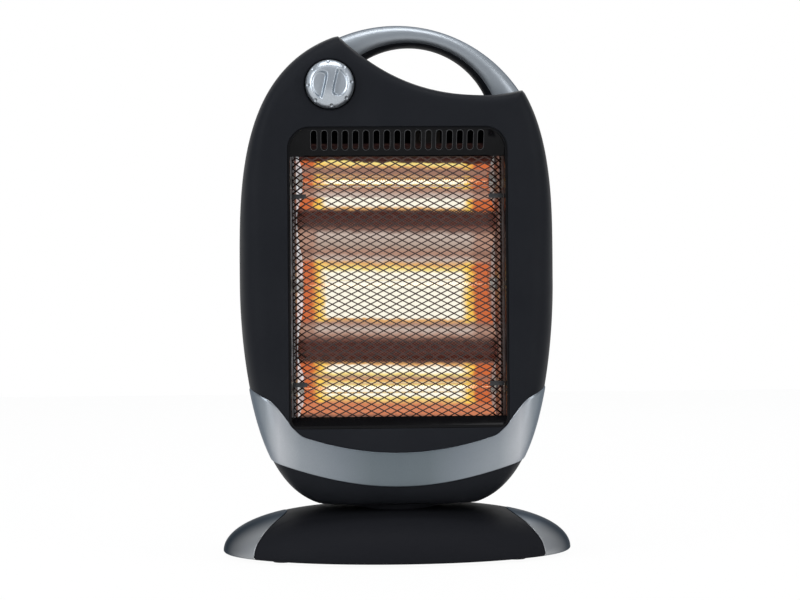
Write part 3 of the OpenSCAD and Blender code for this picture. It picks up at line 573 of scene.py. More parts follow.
def hit(inside, angles, low=20.0, high=330.0, steps=34):
    """Distance from the window's middle along each ray, in degrees, to the edge of inside(x, z)."""
    a = np.radians(angles)
    lo, hi = np.full_like(a, low), np.full_like(a, high)
    for _ in range(steps):
        mid = (lo + hi) / 2
        within = inside(mid * np.cos(a), WINDOW_Z + mid * np.sin(a))
        lo, hi = np.where(within, mid, lo), np.where(within, hi, mid)
    return lo


def outline_r(angles, d):
    """Distance from the window's middle to the head's outline, drawn in by d."""
    return hit(lambda x, z: in_head(x, z, d), angles)


def in_window(x, z):
    """Inside the window's opening, whose corners are rounder at the top."""
    w, h = WINDOW_W / 2, WINDOW_H / 2
    dz = z - WINDOW_Z
    r = np.where(dz > 0, WINDOW_R_TOP, WINDOW_R_LOW)
    qx, qz = np.abs(x) - (w - r), np.abs(dz) - (h - r)
    outside = np.hypot(np.maximum(qx, 0), np.maximum(qz, 0)) + np.minimum(np.maximum(qx, qz), 0)
    return outside < r


def flat_r(angles, size):
    """Distance from the window's middle to the edge of the flat face."""
    a = np.radians(angles)
    across, up = np.abs(np.cos(a)) / size[0], np.abs(np.sin(a)) / size[1]
    return (across ** FLAT_POWER + up ** FLAT_POWER) ** (-1 / FLAT_POWER)


def edge_power(angles):
    return EDGE_SIDE + (EDGE_TOP - EDGE_SIDE) * np.maximum(0, np.sin(np.radians(angles))) ** 2


def head_rays():
    out = []
    for k, count in enumerate(RAYS_BETWEEN):
        out += list(CORNER_RAYS[k] + (CORNER_RAYS[k + 1] - CORNER_RAYS[k]) * np.arange(count) / count)
    return np.array(out)


def ring(angles, r, y, floor_z):
    a = np.radians(angles)
    z = np.maximum(floor_z, WINDOW_Z + r * np.sin(a))
    return np.stack([r * np.cos(a), np.broadcast_to(y, r.shape), z], 1)


def edge_ring(angles, u, radii, depth, size, floor_z, away):
    e = 2 / edge_power(angles)
    f = flat_r(angles, size)
    r = f + (radii - f) * np.cos(np.radians(u)) ** e
    return ring(angles, r, -away * depth * np.sin(np.radians(u)) ** e, floor_z)


# Steps round the head's edge, in degrees from the parting plane to the flat face
EDGE_STEPS = np.array([0, 1.2, 3, 6, 10, 15, 20, 26, 32, 38, 44, 50, 56, 62, 67, 72, 76, 80,
                       83.5, 86.5, 88.6, 89.6, 90])


def half_shell_rings(angles, depth, size, away, inner_start):
    """Rings from the flat face out to the parting plane, and back along the inside."""
    outer, inner = outline_r(angles, 0), outline_r(angles, WALL)
    rings = [edge_ring(angles, u, outer, depth, size, FLOOR_Z, away) for u in EDGE_STEPS[::-1]]
    rings += [edge_ring(angles, u, inner, depth - WALL, size, FLOOR_Z + WALL, away)
              for u in EDGE_STEPS[::2] if u < inner_start]
    return rings


def to_ray(x, z):
    """The angle of places (x, z) of the front, and their share of the way out to the outline."""
    a = np.degrees(np.arctan2(z - WINDOW_Z, x))
    f = flat_r(a, FRONT_FLAT)
    return a % 360, (np.hypot(x, z - WINDOW_Z) - f) / (outline_r(a, 0) - f)


def surface_y(x, z):
    """Y of the front surface at places (x, z)."""
    angles, share = to_ray(x, z)
    n = edge_power(angles)
    return -FRONT_D * np.maximum(0, 1 - np.clip(share, 0, 1) ** n) ** (1 / n)


def front_shell():
    angles = head_rays()
    window = hit(in_window, angles)
    round_r, face = 0.9, -FRONT_D
    rings = [ring(angles, window, face + WALL, 0)]
    for t in np.linspace(0, 90, 5):
        shift = round_r * (1 - math.cos(math.radians(t)))
        rings.append(ring(angles, window + shift, face + round_r * (1 - math.sin(math.radians(t))), 0))
    f = flat_r(angles, FRONT_FLAT)
    for share in (0.3, 0.7):
        rings.append(ring(angles, window + round_r + (f - window - round_r) * share, face, 0))
    rings += half_shell_rings(angles, FRONT_D, FRONT_FLAT, 1, 88)
    points = np.concatenate(rings)
    faces = grid_faces(len(rings), len(angles), close_rows=True)
    piece = new_piece("front_shell", points, faces, M["black_plastic"], "head",
                      ["front_housing"], SHELL_SHARP)
    cut(piece, knob_hole_cutter())
    smooth(piece.data, SHELL_SHARP)
    return piece


KNOB_SEAT_R, SEAT_SIDES = POCKET_R + 1.6, 96


def circle(count):
    return np.radians(np.arange(count) * 360 / count)


def round_the_knob(r, y, w):
    """A ring round the knob's axis."""
    return np.stack([KNOB_X + r * np.cos(w), np.broadcast_to(y, w.shape), KNOB_Z + r * np.sin(w)], 1)


def knob_hole_cutter():
    w = circle(SEAT_SIDES)
    points = np.concatenate([round_the_knob(KNOB_SEAT_R, y, w) for y in (-90, -60)])
    return loose("hole", points, capped_faces(2, SEAT_SIDES))


def knob_seat():
    """The dished seat of the knob, whose rim meets the housing all round."""
    shaft_r, shaft_sink, crest_r = 4, 3, POCKET_R + 0.7
    w = circle(SEAT_SIDES)
    cx, cz = np.cos(w), np.sin(w)
    rim_y = surface_y(KNOB_X + KNOB_SEAT_R * cx, KNOB_Z + KNOB_SEAT_R * cz)
    crest = np.minimum(surface_y(KNOB_X + crest_r * cx, KNOB_Z + crest_r * cz), SEAT_Y - 0.9)
    rows = [(KNOB_SEAT_R, rim_y + 4), (KNOB_SEAT_R, rim_y), (POCKET_R + 0.8, crest),
            (POCKET_R + 0.3, crest + 0.15), (POCKET_R, crest + 0.5), (POCKET_R, SEAT_Y), (12, SEAT_Y),
            (shaft_r, SEAT_Y), (shaft_r, SEAT_Y + shaft_sink), (KNOB_SEAT_R, rim_y + 4)]
    points = np.concatenate([round_the_knob(r, y, w) for r, y in rows])
    return new_piece("knob_seat", points, grid_faces(len(rows), SEAT_SIDES), M["black_plastic"], "head",
                     ["front_housing"])


def rear_shell():
    angles = head_rays()
    f = flat_r(angles, REAR_FLAT)
    rings = [ring(angles, f * share, REAR_D, 0) for share in (0.25, 0.6)]
    rings += half_shell_rings(angles, REAR_D, REAR_FLAT, -1, 91)
    rings += [ring(angles, f * share, REAR_D - WALL, 0) for share in (0.6, 0.25)]
    piece = new_piece("rear_shell", np.concatenate(rings), capped_faces(len(rings), len(angles)),
                      M["black_plastic"], "head", ["rear_housing"], SHELL_SHARP)
    cut(piece, louvre_cutter())
    smooth(piece.data, SHELL_SHARP)
    return piece


def slot_outline(half_w, half_h, count=8):
    """A slot with round ends, lying along X."""
    w = np.radians(np.linspace(-90, 90, count))
    right = [(half_w - half_h + half_h * math.cos(a), half_h * math.sin(a)) for a in w]
    return right + [(-x, -z) for x, z in right]


def louvre_cutter():
    """Two groups of rows of slots, two side by side."""
    half_w, half_h, pitch, apart, groups = 30, 1.75, 7.5, 36, ((286, 369), (142, 203))
    points, faces = [], []
    outline = slot_outline(half_w, half_h)
    n = len(outline)
    for low in np.concatenate([np.arange(*group, pitch) for group in groups]):
        for x in (-apart, apart):
            start = len(points)
            points += [(x + px, y, low + half_h + pz) for y in (REAR_D - 8, REAR_D + 4) for px, pz in outline]
            faces += [tuple(start + i for i in f) for f in capped_faces(2, n)]
    return loose("louvres", points, faces)


# ------------------------------------------------------------------ the silver band


def smooth_step(t):
    s = np.clip(t, 0, 1)
    return s * s * (3 - 2 * s)


def band_top_z(x):
    middle, bow, rise, rise_from, rise_over = 98.8, 0.002, 21, 84, 34
    return middle + bow * x * x + rise * smooth_step((np.abs(x) - rise_from) / rise_over)


def band_low_z(x):
    middle, bow, droop = 68.3, 0.00216, 3.1
    return middle + bow * x * x - droop * (x / 100) ** 4


def on_face(angles, share, d):
    e = edge_power(angles)
    t = np.clip(share, 0, 1)
    f = flat_r(angles, FRONT_FLAT)
    r = f + (outline_r(angles, -d) - f) * t
    y = -(FRONT_D + d) * np.maximum(0, 1 - t ** e) ** (1 / e)
    a = np.radians(angles)
    return np.stack([r * np.cos(a), y, WINDOW_Z + r * np.sin(a)], 1)


def trim_band():
    cols, proud, low_end, top_end = 240, 0.9, 114.3, 134.4
    s = np.sin(np.radians(np.linspace(-90, 90, cols + 1)))
    low_a, low_t = to_ray(s * low_end, band_low_z(s * low_end))
    top_a, top_t = to_ray(s * top_end, band_top_z(s * top_end))
    low_t[[0, -1]] = top_t[[0, -1]] = 1
    rows = [(0, -0.3), (0, 0.35), (0.006, 0.7), (0.018, 0.87), (0.035, proud)]
    rows += [(j, proud) for j in np.linspace(0.08, 0.92, 14)]
    rows += [(1 - j, d) for j, d in rows[4::-1]]
    rings = [on_face(low_a + (top_a - low_a) * j, low_t + (top_t - low_t) * j, d) for j, d in rows]
    points = np.concatenate(rings)
    faces = grid_faces(len(rings), cols + 1, close_cols=False, close_rows=True)
    n = cols + 1
    faces += [tuple(r * n for r in range(len(rings))), tuple(r * n + cols for r in range(len(rings)))]
    return new_piece("silver_band", points, faces, M["band_silver"], "head", ["trim_band"])


# ------------------------------------------------------------------ the handle


def arc_point(arc, s):
    a = math.radians(arc[3] + (arc[4] - arc[3]) * s)
    return np.array([arc[0] + arc[2] * math.cos(a), arc[1] + arc[2] * math.sin(a)])


def handle_section(s, angles, shrink=0.0):
    top, under = arc_point(HANDLE_TOP, s), arc_point(HANDLE_UNDER, s)
    mid, half = (top + under) / 2, (top - under) / 2
    length = np.linalg.norm(half)
    half = half * (1 - shrink / length)
    w = np.radians(angles)
    v = spow(np.sin(w), 2 / HANDLE_POWER)
    y = (HANDLE_DEPTH / 2 - shrink) * spow(np.cos(w), 2 / HANDLE_POWER)
    return np.stack([mid[0] + half[0] * v, y, mid[1] + half[1] * v], 1)


def handle_part(name, first, last, mat, replaces):
    """One of the handle's two shells, between two angles round the section, with a groove at each seam."""
    count, stations, groove, sharp = 64, 121, 1.2, 40
    angles = np.concatenate([[first], np.linspace(first, last, count), [last]])
    rings = []
    for s in np.linspace(0, 1, stations):
        section = handle_section(s, angles)
        section[[0, -1]] = handle_section(s, angles, groove)[[0, -1]]
        rings.append(section)
    faces = capped_faces(stations, count + 2)
    piece = new_piece(name, np.concatenate(rings), faces, mat, "head", replaces, sharp)
    cut(piece, below_saddle())
    smooth(piece.data, sharp)
    return piece


def below_saddle():
    """What lies below the saddle's line, which the handle stands on."""
    left, right, deep, half, gap = -76, 132, 30, 30, 0.1
    x = np.linspace(left, right, 105)
    line = [(left, SADDLE_Z - deep), *zip(x, saddle_z(x) + gap), (right, SADDLE_Z - deep)]
    points = [(px, y, pz) for y in (-half, half) for px, pz in line]
    return loose("below", points, capped_faces(2, len(line)))


def handle():
    gap = 0.8
    right, left = HANDLE_SEAM, 180 - HANDLE_SEAM
    handle_part("handle_shell", right + gap, left - gap, M["handle_silver"], ["handle"])
    # The black underside shell is a part of the handle that also stands in for the shade under it, as painted
    # shade.
    handle_part("handle_under_shell", left + gap, right + 360 - gap, M["black_plastic"],
                ["handle_underside"])


# ------------------------------------------------------------------ the knob


KNOB_CROWN, KNOB_EDGE, RIDGE_TILT = 15, 4, 13.4
# The two hollows beside the knob's ridge, from the ridge out
HOLLOW_IN, HOLLOW_OUT, HOLLOW_LOW = 2.84, 16.9, 10.5
HOLLOW_FLOOR, HOLLOW_RISE, HOLLOW_WIDE = 9.2, 2.2, 13.5
DENT_RING, DENT_TURN, DENT_R, DENT_DEEP = 19.4, 4, 1.7, 1.1


def soft_min(a, b, k):
    return -k * np.log(np.exp(-a / k) + np.exp(-b / k))


def knob_height(x, z):
    """Height of the knob's face over its back, at places (x, z) from its axis."""
    r = np.hypot(x, z)
    dome = KNOB_EDGE + (KNOB_CROWN - KNOB_EDGE) * np.sqrt(np.maximum(0, 1 - np.minimum(r / KNOB_R, 1) ** 2.4))
    tilt = math.radians(RIDGE_TILT)
    out = dome
    for side in (1, -1):
        u = side * (x * math.cos(tilt) - z * math.sin(tilt))
        v = side * (x * math.sin(tilt) + z * math.cos(tilt))
        inside = soft_min(soft_min(u - HOLLOW_IN, HOLLOW_OUT - r, 1.2), v + HOLLOW_LOW, 2)
        floor = HOLLOW_FLOOR + HOLLOW_RISE * np.clip((u - HOLLOW_IN) / HOLLOW_WIDE, 0, 1) ** 1.3
        out = out + (np.minimum(dome, floor) - dome) * smooth_step(inside / 2.5)
    for i in range(8):
        a = math.radians(DENT_TURN + 45 * i)
        d = np.hypot(x - DENT_RING * math.cos(a), z - DENT_RING * math.sin(a))
        out = out - DENT_DEEP * smooth_step((DENT_R - d) / 1.2)
    return out


def knob():
    count = 256
    w = circle(count)
    edge_r, bore_r, back = 0.75, 3.1, SEAT_Y - 1
    rounding = KNOB_R - edge_r * (1 - np.sin(np.radians(np.linspace(15, 90, 8))))
    rings = []
    for r in [*np.linspace(0.05, 20.4, 76), *rounding]:
        rings.append(round_the_knob(r, back - knob_height(r * np.cos(w), r * np.sin(w)), w))
    for r, h in [(KNOB_R, 3.4), (KNOB_R, 1.0), (KNOB_R - 0.4, 0.3), (KNOB_R - 1.0, 0.0),
                 (bore_r, 0.0), (bore_r, 6.0)]:
        rings.append(round_the_knob(r, back - h, w))
    return new_piece("knob_cap", np.concatenate(rings), capped_faces(len(rings), count), M["silver_paint"],
                     "knob", ["knob"], sharp=50)


# ------------------------------------------------------------------ the base

BASE_H, BASE_UNDER = BASE_TOP - RIM_Z, 3.0


def rim_r(phi):
    """Distance from the middle to the base's rim at the angles phi, in radians."""
    return 1 / np.hypot(np.cos(phi) / (BASE_W / 2), np.sin(phi) / (BASE_D / 2))


def dome_z(f):
    """Height of the dome at the share f of the way to the rim."""
    return RIM_Z + BASE_H * np.maximum(0, 1 - np.minimum(f, 1) ** BASE_PX) ** (1 / BASE_PZ)


def split_r(phi):
    """Distance from the middle to an end cap's edge at the angles phi, or a large value beside it."""
    c, beside = SPLIT_X + SPLIT_R, 1e6
    b = c * np.abs(np.cos(phi))
    disc = b * b - (c * c - SPLIT_R * SPLIT_R)
    return np.where(disc > 0, b - np.sqrt(np.maximum(disc, 0)), beside)


def base_cover():
    """The dome, down into the turntable's hole, and round the rim or down beside the end caps."""
    count, steps, groove, hole_deep = 720, 44, 0.9, 6
    phi = circle(count)
    rim = rim_r(phi)
    edge = np.minimum(split_r(phi) / rim, 1)
    at_split = edge < 1
    hole = RING_R / rim
    u_in = np.arccos(hole ** (BASE_PX / 2))
    u_out = np.arccos(np.minimum(edge - np.where(at_split, groove / rim, 0), 1) ** (BASE_PX / 2))
    rows = [(hole, dome_z(hole) - hole_deep)]
    for t in np.linspace(0, 1, steps) ** 0.9:
        f = np.cos(u_in + (u_out - u_in) * t) ** (2 / BASE_PX)
        rows.append((f, dome_z(f)))
    top = dome_z(edge)
    lips = [(0.35, 0.12, 0.9985, 4.4), (0.0, 0.55, 0.995, 3.7), (0.0, 1.6, 0.99, 3.2),
            (0.0, 3.6, 0.98, BASE_UNDER), (4.0, 3.8, 0.95, BASE_UNDER)]
    for cap_in, cap_down, rim_f, rim_z in lips:
        f = np.where(at_split, edge - cap_in / rim, rim_f)
        z = np.where(at_split, np.maximum(top - cap_down, BASE_UNDER), rim_z)
        rows.append((f, z))
    points = np.concatenate([np.stack([f * rim * np.cos(phi), f * rim * np.sin(phi), z], 1) for f, z in rows])
    return new_piece("base_dome", points, grid_faces(len(rows), count), M["base_black"], "base",
                     ["base_cover"], sharp=50)


def cap_end_angle():
    """Angle on the split circle where it meets the base's rim."""
    low, high = 0.0, math.pi / 2
    for _ in range(50):
        mid = (low + high) / 2
        x, y = SPLIT_X + SPLIT_R - SPLIT_R * math.cos(mid), SPLIT_R * math.sin(mid)
        if (x / (BASE_W / 2)) ** 2 + (y / (BASE_D / 2)) ** 2 < 1:
            low = mid
        else:
            high = mid
    return low


def end_cap(side, node):
    count, steps, proud = 161, 40, 0.35
    psi = np.linspace(-1, 1, count) * cap_end_angle() * 0.9995
    sx, sy = SPLIT_X + SPLIT_R - SPLIT_R * np.cos(psi), SPLIT_R * np.sin(psi)
    tip_x = BASE_W / 2 * np.sqrt(np.maximum(0, 1 - (sy / (BASE_D / 2)) ** 2))
    room = tip_x - sx

    def row(back, down):
        """A row along the split edge, back from it by a little and let down by another."""
        x = sx + np.minimum(back, room * 0.4)
        f = np.hypot(x / (BASE_W / 2), sy / (BASE_D / 2))
        return np.stack([x, sy, np.maximum(dome_z(f) + proud - down, 3.2)], 1)

    rows = [row(4.0, 4.2), row(0, 4.0), row(0, 0.55), row(0.16, 0.16), row(0.55, 0.0)]
    start = np.minimum(0.9, room * 0.45)
    f_in = np.hypot((sx + start) / (BASE_W / 2), sy / (BASE_D / 2))
    u_in = np.arccos(np.minimum(f_in, 1) ** (BASE_PX / 2))
    for t in np.linspace(0, 1, steps):
        f = np.cos(u_in * (1 - t)) ** (2 / BASE_PX)
        x = BASE_W / 2 * np.sqrt(np.maximum(0, f * f - (sy / (BASE_D / 2)) ** 2))
        rows.append(np.stack([x, sy, dome_z(f) + proud * (1 - t)], 1))
    for rim_f, z in [(0.998, 4.4), (0.994, 3.7), (0.988, 3.2), (0.98, BASE_UNDER), (0.95, BASE_UNDER)]:
        rows.append(np.stack([tip_x * rim_f, sy * rim_f, np.full(count, z)], 1))
    points = np.concatenate(rows)
    points[:, 0] *= side
    return new_piece(node + "_shell", points, grid_faces(len(rows), count, close_cols=False),
                     M["dark_silver_paint"], "base", [node], sharp=50)


# ------------------------------------------------------------------ the guard


def fold(s, h, d):
    """Place of a point of the guard: s along its width, h up it, d in front of its middle plane."""
    turn = math.radians(GRILLE_TURN)
    y0 = GRILLE_Y + GRILLE_T / 2
    past = np.maximum(np.abs(s) - GRILLE_HALF, 0)
    side = np.sign(s)
    bend = past > 0
    x = np.where(bend, GRILLE_HALF + past * math.cos(turn) + d * math.sin(turn), np.abs(s)) * side
    y = np.where(bend, y0 + past * math.sin(turn) - d * math.cos(turn), y0 - d)
    return np.stack([x, y, GRILLE_LOW + h], 1)


def expanded_guard():
    """A sheet of expanded metal: holes in offset rows, whose strands lean like louvres."""
    half = GRILLE_HALF + GRILLE_SIDE_W
    height = GRILLE_HIGH - GRILLE_LOW
    cols, rows = int(2 * half / MESH_W) + 3, int(2 * height / MESH_H) + 3
    hole_w, hole_h, lean = MESH_W / 2 - STRAND, MESH_H / 2 - 0.575 * STRAND, 0.34
    first_x, first_z = 0.46 * MESH_W, -0.4
    offsets = [(-hole_w, 0, 0), (0, hole_h, -lean), (hole_w, 0, 0), (0, -hole_h, lean)]
    s, h, d, index = [], [], [], {}
    for j in range(-1, rows):
        for i in range(-1, cols):
            index[i, j] = len(s)
            cs, ch = first_x - half + (i + (j % 2) / 2) * MESH_W, first_z + j * MESH_H / 2
            for ds, dh, dd in offsets:
                s.append(cs + ds)
                h.append(ch + dh)
                d.append(dd)
    s, h, d = np.clip(s, -half, half), np.clip(h, 0, height), np.array(d)
    front, back = fold(s, h, d + GRILLE_T / 2), fold(s, h, d - GRILLE_T / 2)
    n, faces = len(s), []

    def both(*corners):
        faces.append(corners)
        faces.append(tuple(c + n for c in corners[::-1]))

    left, top, right, low = range(4)
    for (i, j), k in index.items():
        if len({(s[k + q], h[k + q]) for q in range(4)}) > 2:
            sides = ((left, top), (top, right), (right, low), (low, left))
            faces.extend((k + a, k + b, k + b + n, k + a + n) for a, b in sides)
        shift = j % 2
        up_right, up_left = index.get((i + shift, j + 1)), index.get((i + shift - 1, j + 1))
        beside, lower_right = index.get((i + 1, j)), index.get((i + shift, j - 1))
        if up_right is not None:
            both(k + right, k + top, up_right + left, up_right + low)
        if up_left is not None:
            both(k + top, k + left, up_left + low, up_left + right)
        if None not in (beside, up_right, lower_right):
            both(k + right, up_right + low, beside + left, lower_right + top)
    points = np.concatenate([front, back])
    keep = [f for f in faces if len({tuple(np.round(points[c], 4)) for c in f}) >= 3]
    return new_piece("guard_mesh", points, keep, M["guard_black"], "head", ["grille"],
                     sharp=20)


# ------------------------------------------------------------------ the vent's slots

VENT_MID, VENT_TILT, VENT_T = (-63.85, 376.5), math.radians(28.49), 1.8
SLOTS, SLOT_PITCH, SLOT_R, SLOT_HALF, SLOT_RISE = 17, 9.33, 2.7, 6.9, 2.8


def slot_rims():
    """The thin raised rim round every slot of the slanted panel, in a lighter grey that paints a highlight
    along the slot edges.
    """
    rim_r, rim_out, sides, ends = 0.26, 0.2, 5, 9
    across = np.array([1, 0, 0])
    up = np.array([0, -math.sin(VENT_TILT), math.cos(VENT_TILT)])
    out = np.array([0, -math.cos(VENT_TILT), -math.sin(VENT_TILT)])
    w = np.radians(np.linspace(0, 180, ends))
    around = [(a, SLOT_HALF) for a in w] + [(a + math.pi, -SLOT_HALF) for a in w]
    middle = np.array([0, *VENT_MID]) + SLOT_RISE * up + VENT_T * out
    points, faces = [], []
    for i in range(SLOTS):
        start = len(points)
        for a, h in around:
            side = math.cos(a) * across + math.sin(a) * up
            centre = middle + (i - (SLOTS - 1) / 2) * SLOT_PITCH * across + h * up + (SLOT_R + rim_out) * side
            points += [centre + rim_r * (math.cos(b) * side + math.sin(b) * out) for b in circle(sides)]
        faces += [tuple(start + k for k in f) for f in grid_faces(len(around), sides, close_rows=True)]
    # Painted highlight: the rims are a lighter grey than the panel.
    rim_grey = material("rim_grey", (0.035, 0.036, 0.038), 0.35)
    return new_piece("slot_rims", points, faces, rim_grey, "head", ["window_frame"], sharp=60)


# ------------------------------------------------------------------ the reflector's painted glow


def srgb(r, g, b):
    return tuple((c / 255 / 12.92) if c <= 10 else ((c / 255 + 0.055) / 1.055) ** 2.4 for c in (r, g, b))


HOT, WARM, AMBER, GOLD = srgb(253, 250, 232), srgb(246, 224, 136), srgb(226, 172, 106), srgb(250, 206, 92)
ROSE, PALE, CLAY = srgb(176, 138, 120), srgb(200, 183, 172), srgb(150, 112, 96)
EMBER, RIDGE, DUSK = srgb(204, 124, 88), srgb(98, 48, 38), srgb(120, 86, 74)
# The darkest colours of the painted glow: painted shade above and below the lamps, and a dim red edge of the
# glow at the top.
GLOW_SHADE, GLOW_DIM_RED, MILK, ORANGE = srgb(24, 13, 13), srgb(50, 22, 20), srgb(178, 157, 143), srgb(203, 104, 58)
# Heights where the glow's three ramps meet
GLOW_SPLIT = (279, 179)
# The painted glow over the height, from the top of the reflector down, as (z, colour)
GLOW = [
    (377, GLOW_SHADE), (366, GLOW_SHADE), (364.5, GLOW_DIM_RED), (361.2, GLOW_DIM_RED), (360.2, WARM), (359, WARM), (357, AMBER),
    (354.5, CLAY), (351, CLAY), (346.5, AMBER), (345.6, WARM), (344.3, HOT), (341.8, HOT), (340.4, WARM),
    (339.2, AMBER), (337.5, ROSE), (335, ROSE), (331.5, PALE), (329, PALE), (327, HOT), (321, HOT),
    (318, AMBER), (315.8, DUSK), (313.5, RIDGE), (304.5, RIDGE), (298.5, DUSK), (294, PALE),
    (284, MILK), (279, ROSE)]
GLOW_MID = [
    (279, ROSE), (277, ROSE), (272, PALE), (268, AMBER), (263, WARM), (259.5, HOT), (219, HOT),
    (217, AMBER), (213, ROSE), (208, PALE), (203, ROSE), (200, DUSK), (194.5, RIDGE), (184, RIDGE),
    (179, DUSK)]
GLOW_LOW = [
    (179, DUSK), (176.5, AMBER), (174, HOT), (169.5, HOT), (167, WARM), (163.5, ROSE), (161, AMBER),
    (158, WARM), (153.5, HOT), (147.5, HOT), (145, WARM), (142, AMBER), (139.5, EMBER), (132, EMBER),
    (129, DUSK), (126.5, GLOW_SHADE), (121, GLOW_SHADE)]
# Painted dark bands on the ridges, where the guard's painted shadow shows: height, how far from it they end,
# and how far they are full
RIDGE_BANDS = [(309, 9, 6), (188.5, 12, 8)]


def glow_ramp(tree, height, stops):
    """Colour over the height, between the first and the last of stops, given from the top down."""
    high, low = stops[0][0], stops[-1][0]
    place = map_range(tree, height, low * MM, high * MM, smooth_it=False)
    return ramp(tree, place, [((z - low) / (high - low), c) for z, c in stops[::-1]])


def fringe(colour):
    """The fringe between a colour of the glow and the lamps' ends."""
    return GOLD if colour in (HOT, WARM, AMBER) else colour


def dimmed(colour):
    """What a colour of the glow falls to at the lamps' ends."""
    table = {HOT: ORANGE, WARM: ORANGE, AMBER: ORANGE, MILK: ROSE, PALE: ROSE, ROSE: CLAY}
    return table.get(colour, colour)


def glow_colour(tree):
    """The painted glow's colour, and the X and Z of the shaded point."""
    tilt, shift, swing, fringe_at, end_at = 0.02, 2, 1.1, (60, 69), (68, 76)
    x, _, z = object_place(tree)
    sway = map_range(tree, noise(tree, 9, 2), 0.3, 0.7, -swing * MM, swing * MM, smooth_it=False)
    slope = math_node(tree, "MULTIPLY", x, tilt)
    height = math_node(tree, "ADD", math_node(tree, "ADD", z, sway), slope)
    wide = math_node(tree, "ABSOLUTE", math_node(tree, "ADD", x, shift * MM))
    reach = math_node(tree, "ADD", wide, math_node(tree, "MULTIPLY", sway, 2.0))
    at_fringe, at_end = [map_range(tree, reach, a * MM, b * MM) for a, b in (fringe_at, end_at)]
    zones = []
    for stops in (GLOW, GLOW_MID, GLOW_LOW):
        bright = glow_ramp(tree, height, stops)
        gold = glow_ramp(tree, height, [(q, fringe(c)) for q, c in stops])
        ends = glow_ramp(tree, height, [(q, dimmed(c)) for q, c in stops])
        zones.append(mix_colour(tree, at_end, mix_colour(tree, at_fringe, bright, gold), ends))
    upper, lower = [map_range(tree, height, (q - 0.1) * MM, (q + 0.1) * MM, smooth_it=False)
                    for q in GLOW_SPLIT]
    above = mix_colour(tree, upper, zones[1], zones[0])
    return mix_colour(tree, lower, zones[2], above), x, z


def mesh_shadow(tree, x, z, pitch_x, pitch_z, width):
    """1 on the lines of a net of diamonds, and 0 between them."""
    a = math_node(tree, "DIVIDE", x, pitch_x * MM)
    b = math_node(tree, "DIVIDE", z, pitch_z * MM)
    lines = []
    for op in ("ADD", "SUBTRACT"):
        lines.append(from_middle(tree, math_node(tree, "FRACT", math_node(tree, op, a, b)), 0.5))
    return map_range(tree, math_node(tree, "MINIMUM", *lines), width, width * 0.4)


def glowing_mirror():
    """Polished reflector with the lamps' glow painted as emission over its height, broken by the guard's own
    image painted as a net, and painted shade on the metal above the upper lamp.
    """
    metal, upper_shade, shade_from, shade_to = (0.06, 0.045, 0.04), (0.012, 0.01, 0.01), 361, 362.5
    mat = material("glowing_mirror", metal, 0.28, 1.0, Emission_Strength=1.0)
    tree, bsdf = shader(mat)
    glow, x, z = glow_colour(tree)
    net = mesh_shadow(tree, x, z, 3.1, 2.3, 0.26)
    coarse = mesh_shadow(tree, x, z, 8.3, 4.4, 0.12)
    bands = [map_range(tree, from_middle(tree, z, mid * MM), end * MM, full * MM)
             for mid, end, full in RIDGE_BANDS]
    on_ridge = math_node(tree, "MAXIMUM", *bands)
    on_net = math_node(tree, "MULTIPLY", math_node(tree, "MULTIPLY", net, on_ridge), 0.95)
    off_ridge = math_node(tree, "SUBTRACT", 1.0, on_ridge)
    # A faint painted reflection of the guard: lighter lines of a coarse net off the ridges.
    veil = math_node(tree, "MULTIPLY", math_node(tree, "MULTIPLY", coarse, off_ridge), 0.06)
    # Painted shadow of the guard: a dark net on the ridges.
    dark = mix_colour(tree, on_net, glow, srgb(14, 8, 8))
    feed(tree, mix_colour(tree, veil, dark, srgb(120, 80, 60)), bsdf.inputs["Emission Color"])
    # Painted shade: the metal turns near black above the upper lamp.
    in_upper_shade = map_range(tree, z, shade_from * MM, shade_to * MM)
    feed(tree, mix_colour(tree, in_upper_shade, metal, upper_shade), bsdf.inputs["Base Color"])
    return mat


def reflector_y(z):
    """Y of the reflector at a height: three troughs, with ridges between them."""
    upper, middle, lower = TROUGH_HALF
    half, mid = middle, LAMP_MID
    if z > LAMP_MID + middle:
        half, mid = upper, LAMP_MID + middle + upper
    elif z < LAMP_MID - middle:
        half, mid = lower, LAMP_MID - middle - lower
    return RIDGE_Y + (TROUGH_Y - RIDGE_Y) * math.cos(math.pi / 2 * (z - mid) / half) ** 2


REFLECTOR_LOW = LAMP_MID - TROUGH_HALF[1] - 2 * TROUGH_HALF[2]
REFLECTOR_HIGH = LAMP_MID + TROUGH_HALF[1] + 2 * TROUGH_HALF[0]


def reflector():
    across = 41
    levels = np.linspace(REFLECTOR_LOW, REFLECTOR_HIGH, 385)
    y = np.array([reflector_y(z) for z in levels])
    slope = (SIDE_FRONT[0] - SIDE_BACK[0]) / (SIDE_BACK[1] - SIDE_FRONT[1])
    half = SIDE_BACK[0] + np.maximum(0, SIDE_BACK[1] - y) * slope
    rows = []
    for z, yy, hw in zip(levels, y, half):
        xs = np.linspace(-1, 1, across) * hw
        rows.append([(x, yy, z) for x in xs] + [(x, yy + SHEET, z) for x in xs[::-1]])
    faces = capped_faces(len(levels), 2 * across)
    return new_piece("reflector_sheet", np.concatenate(rows), faces, glowing_mirror(), "head",
                     ["reflector"])


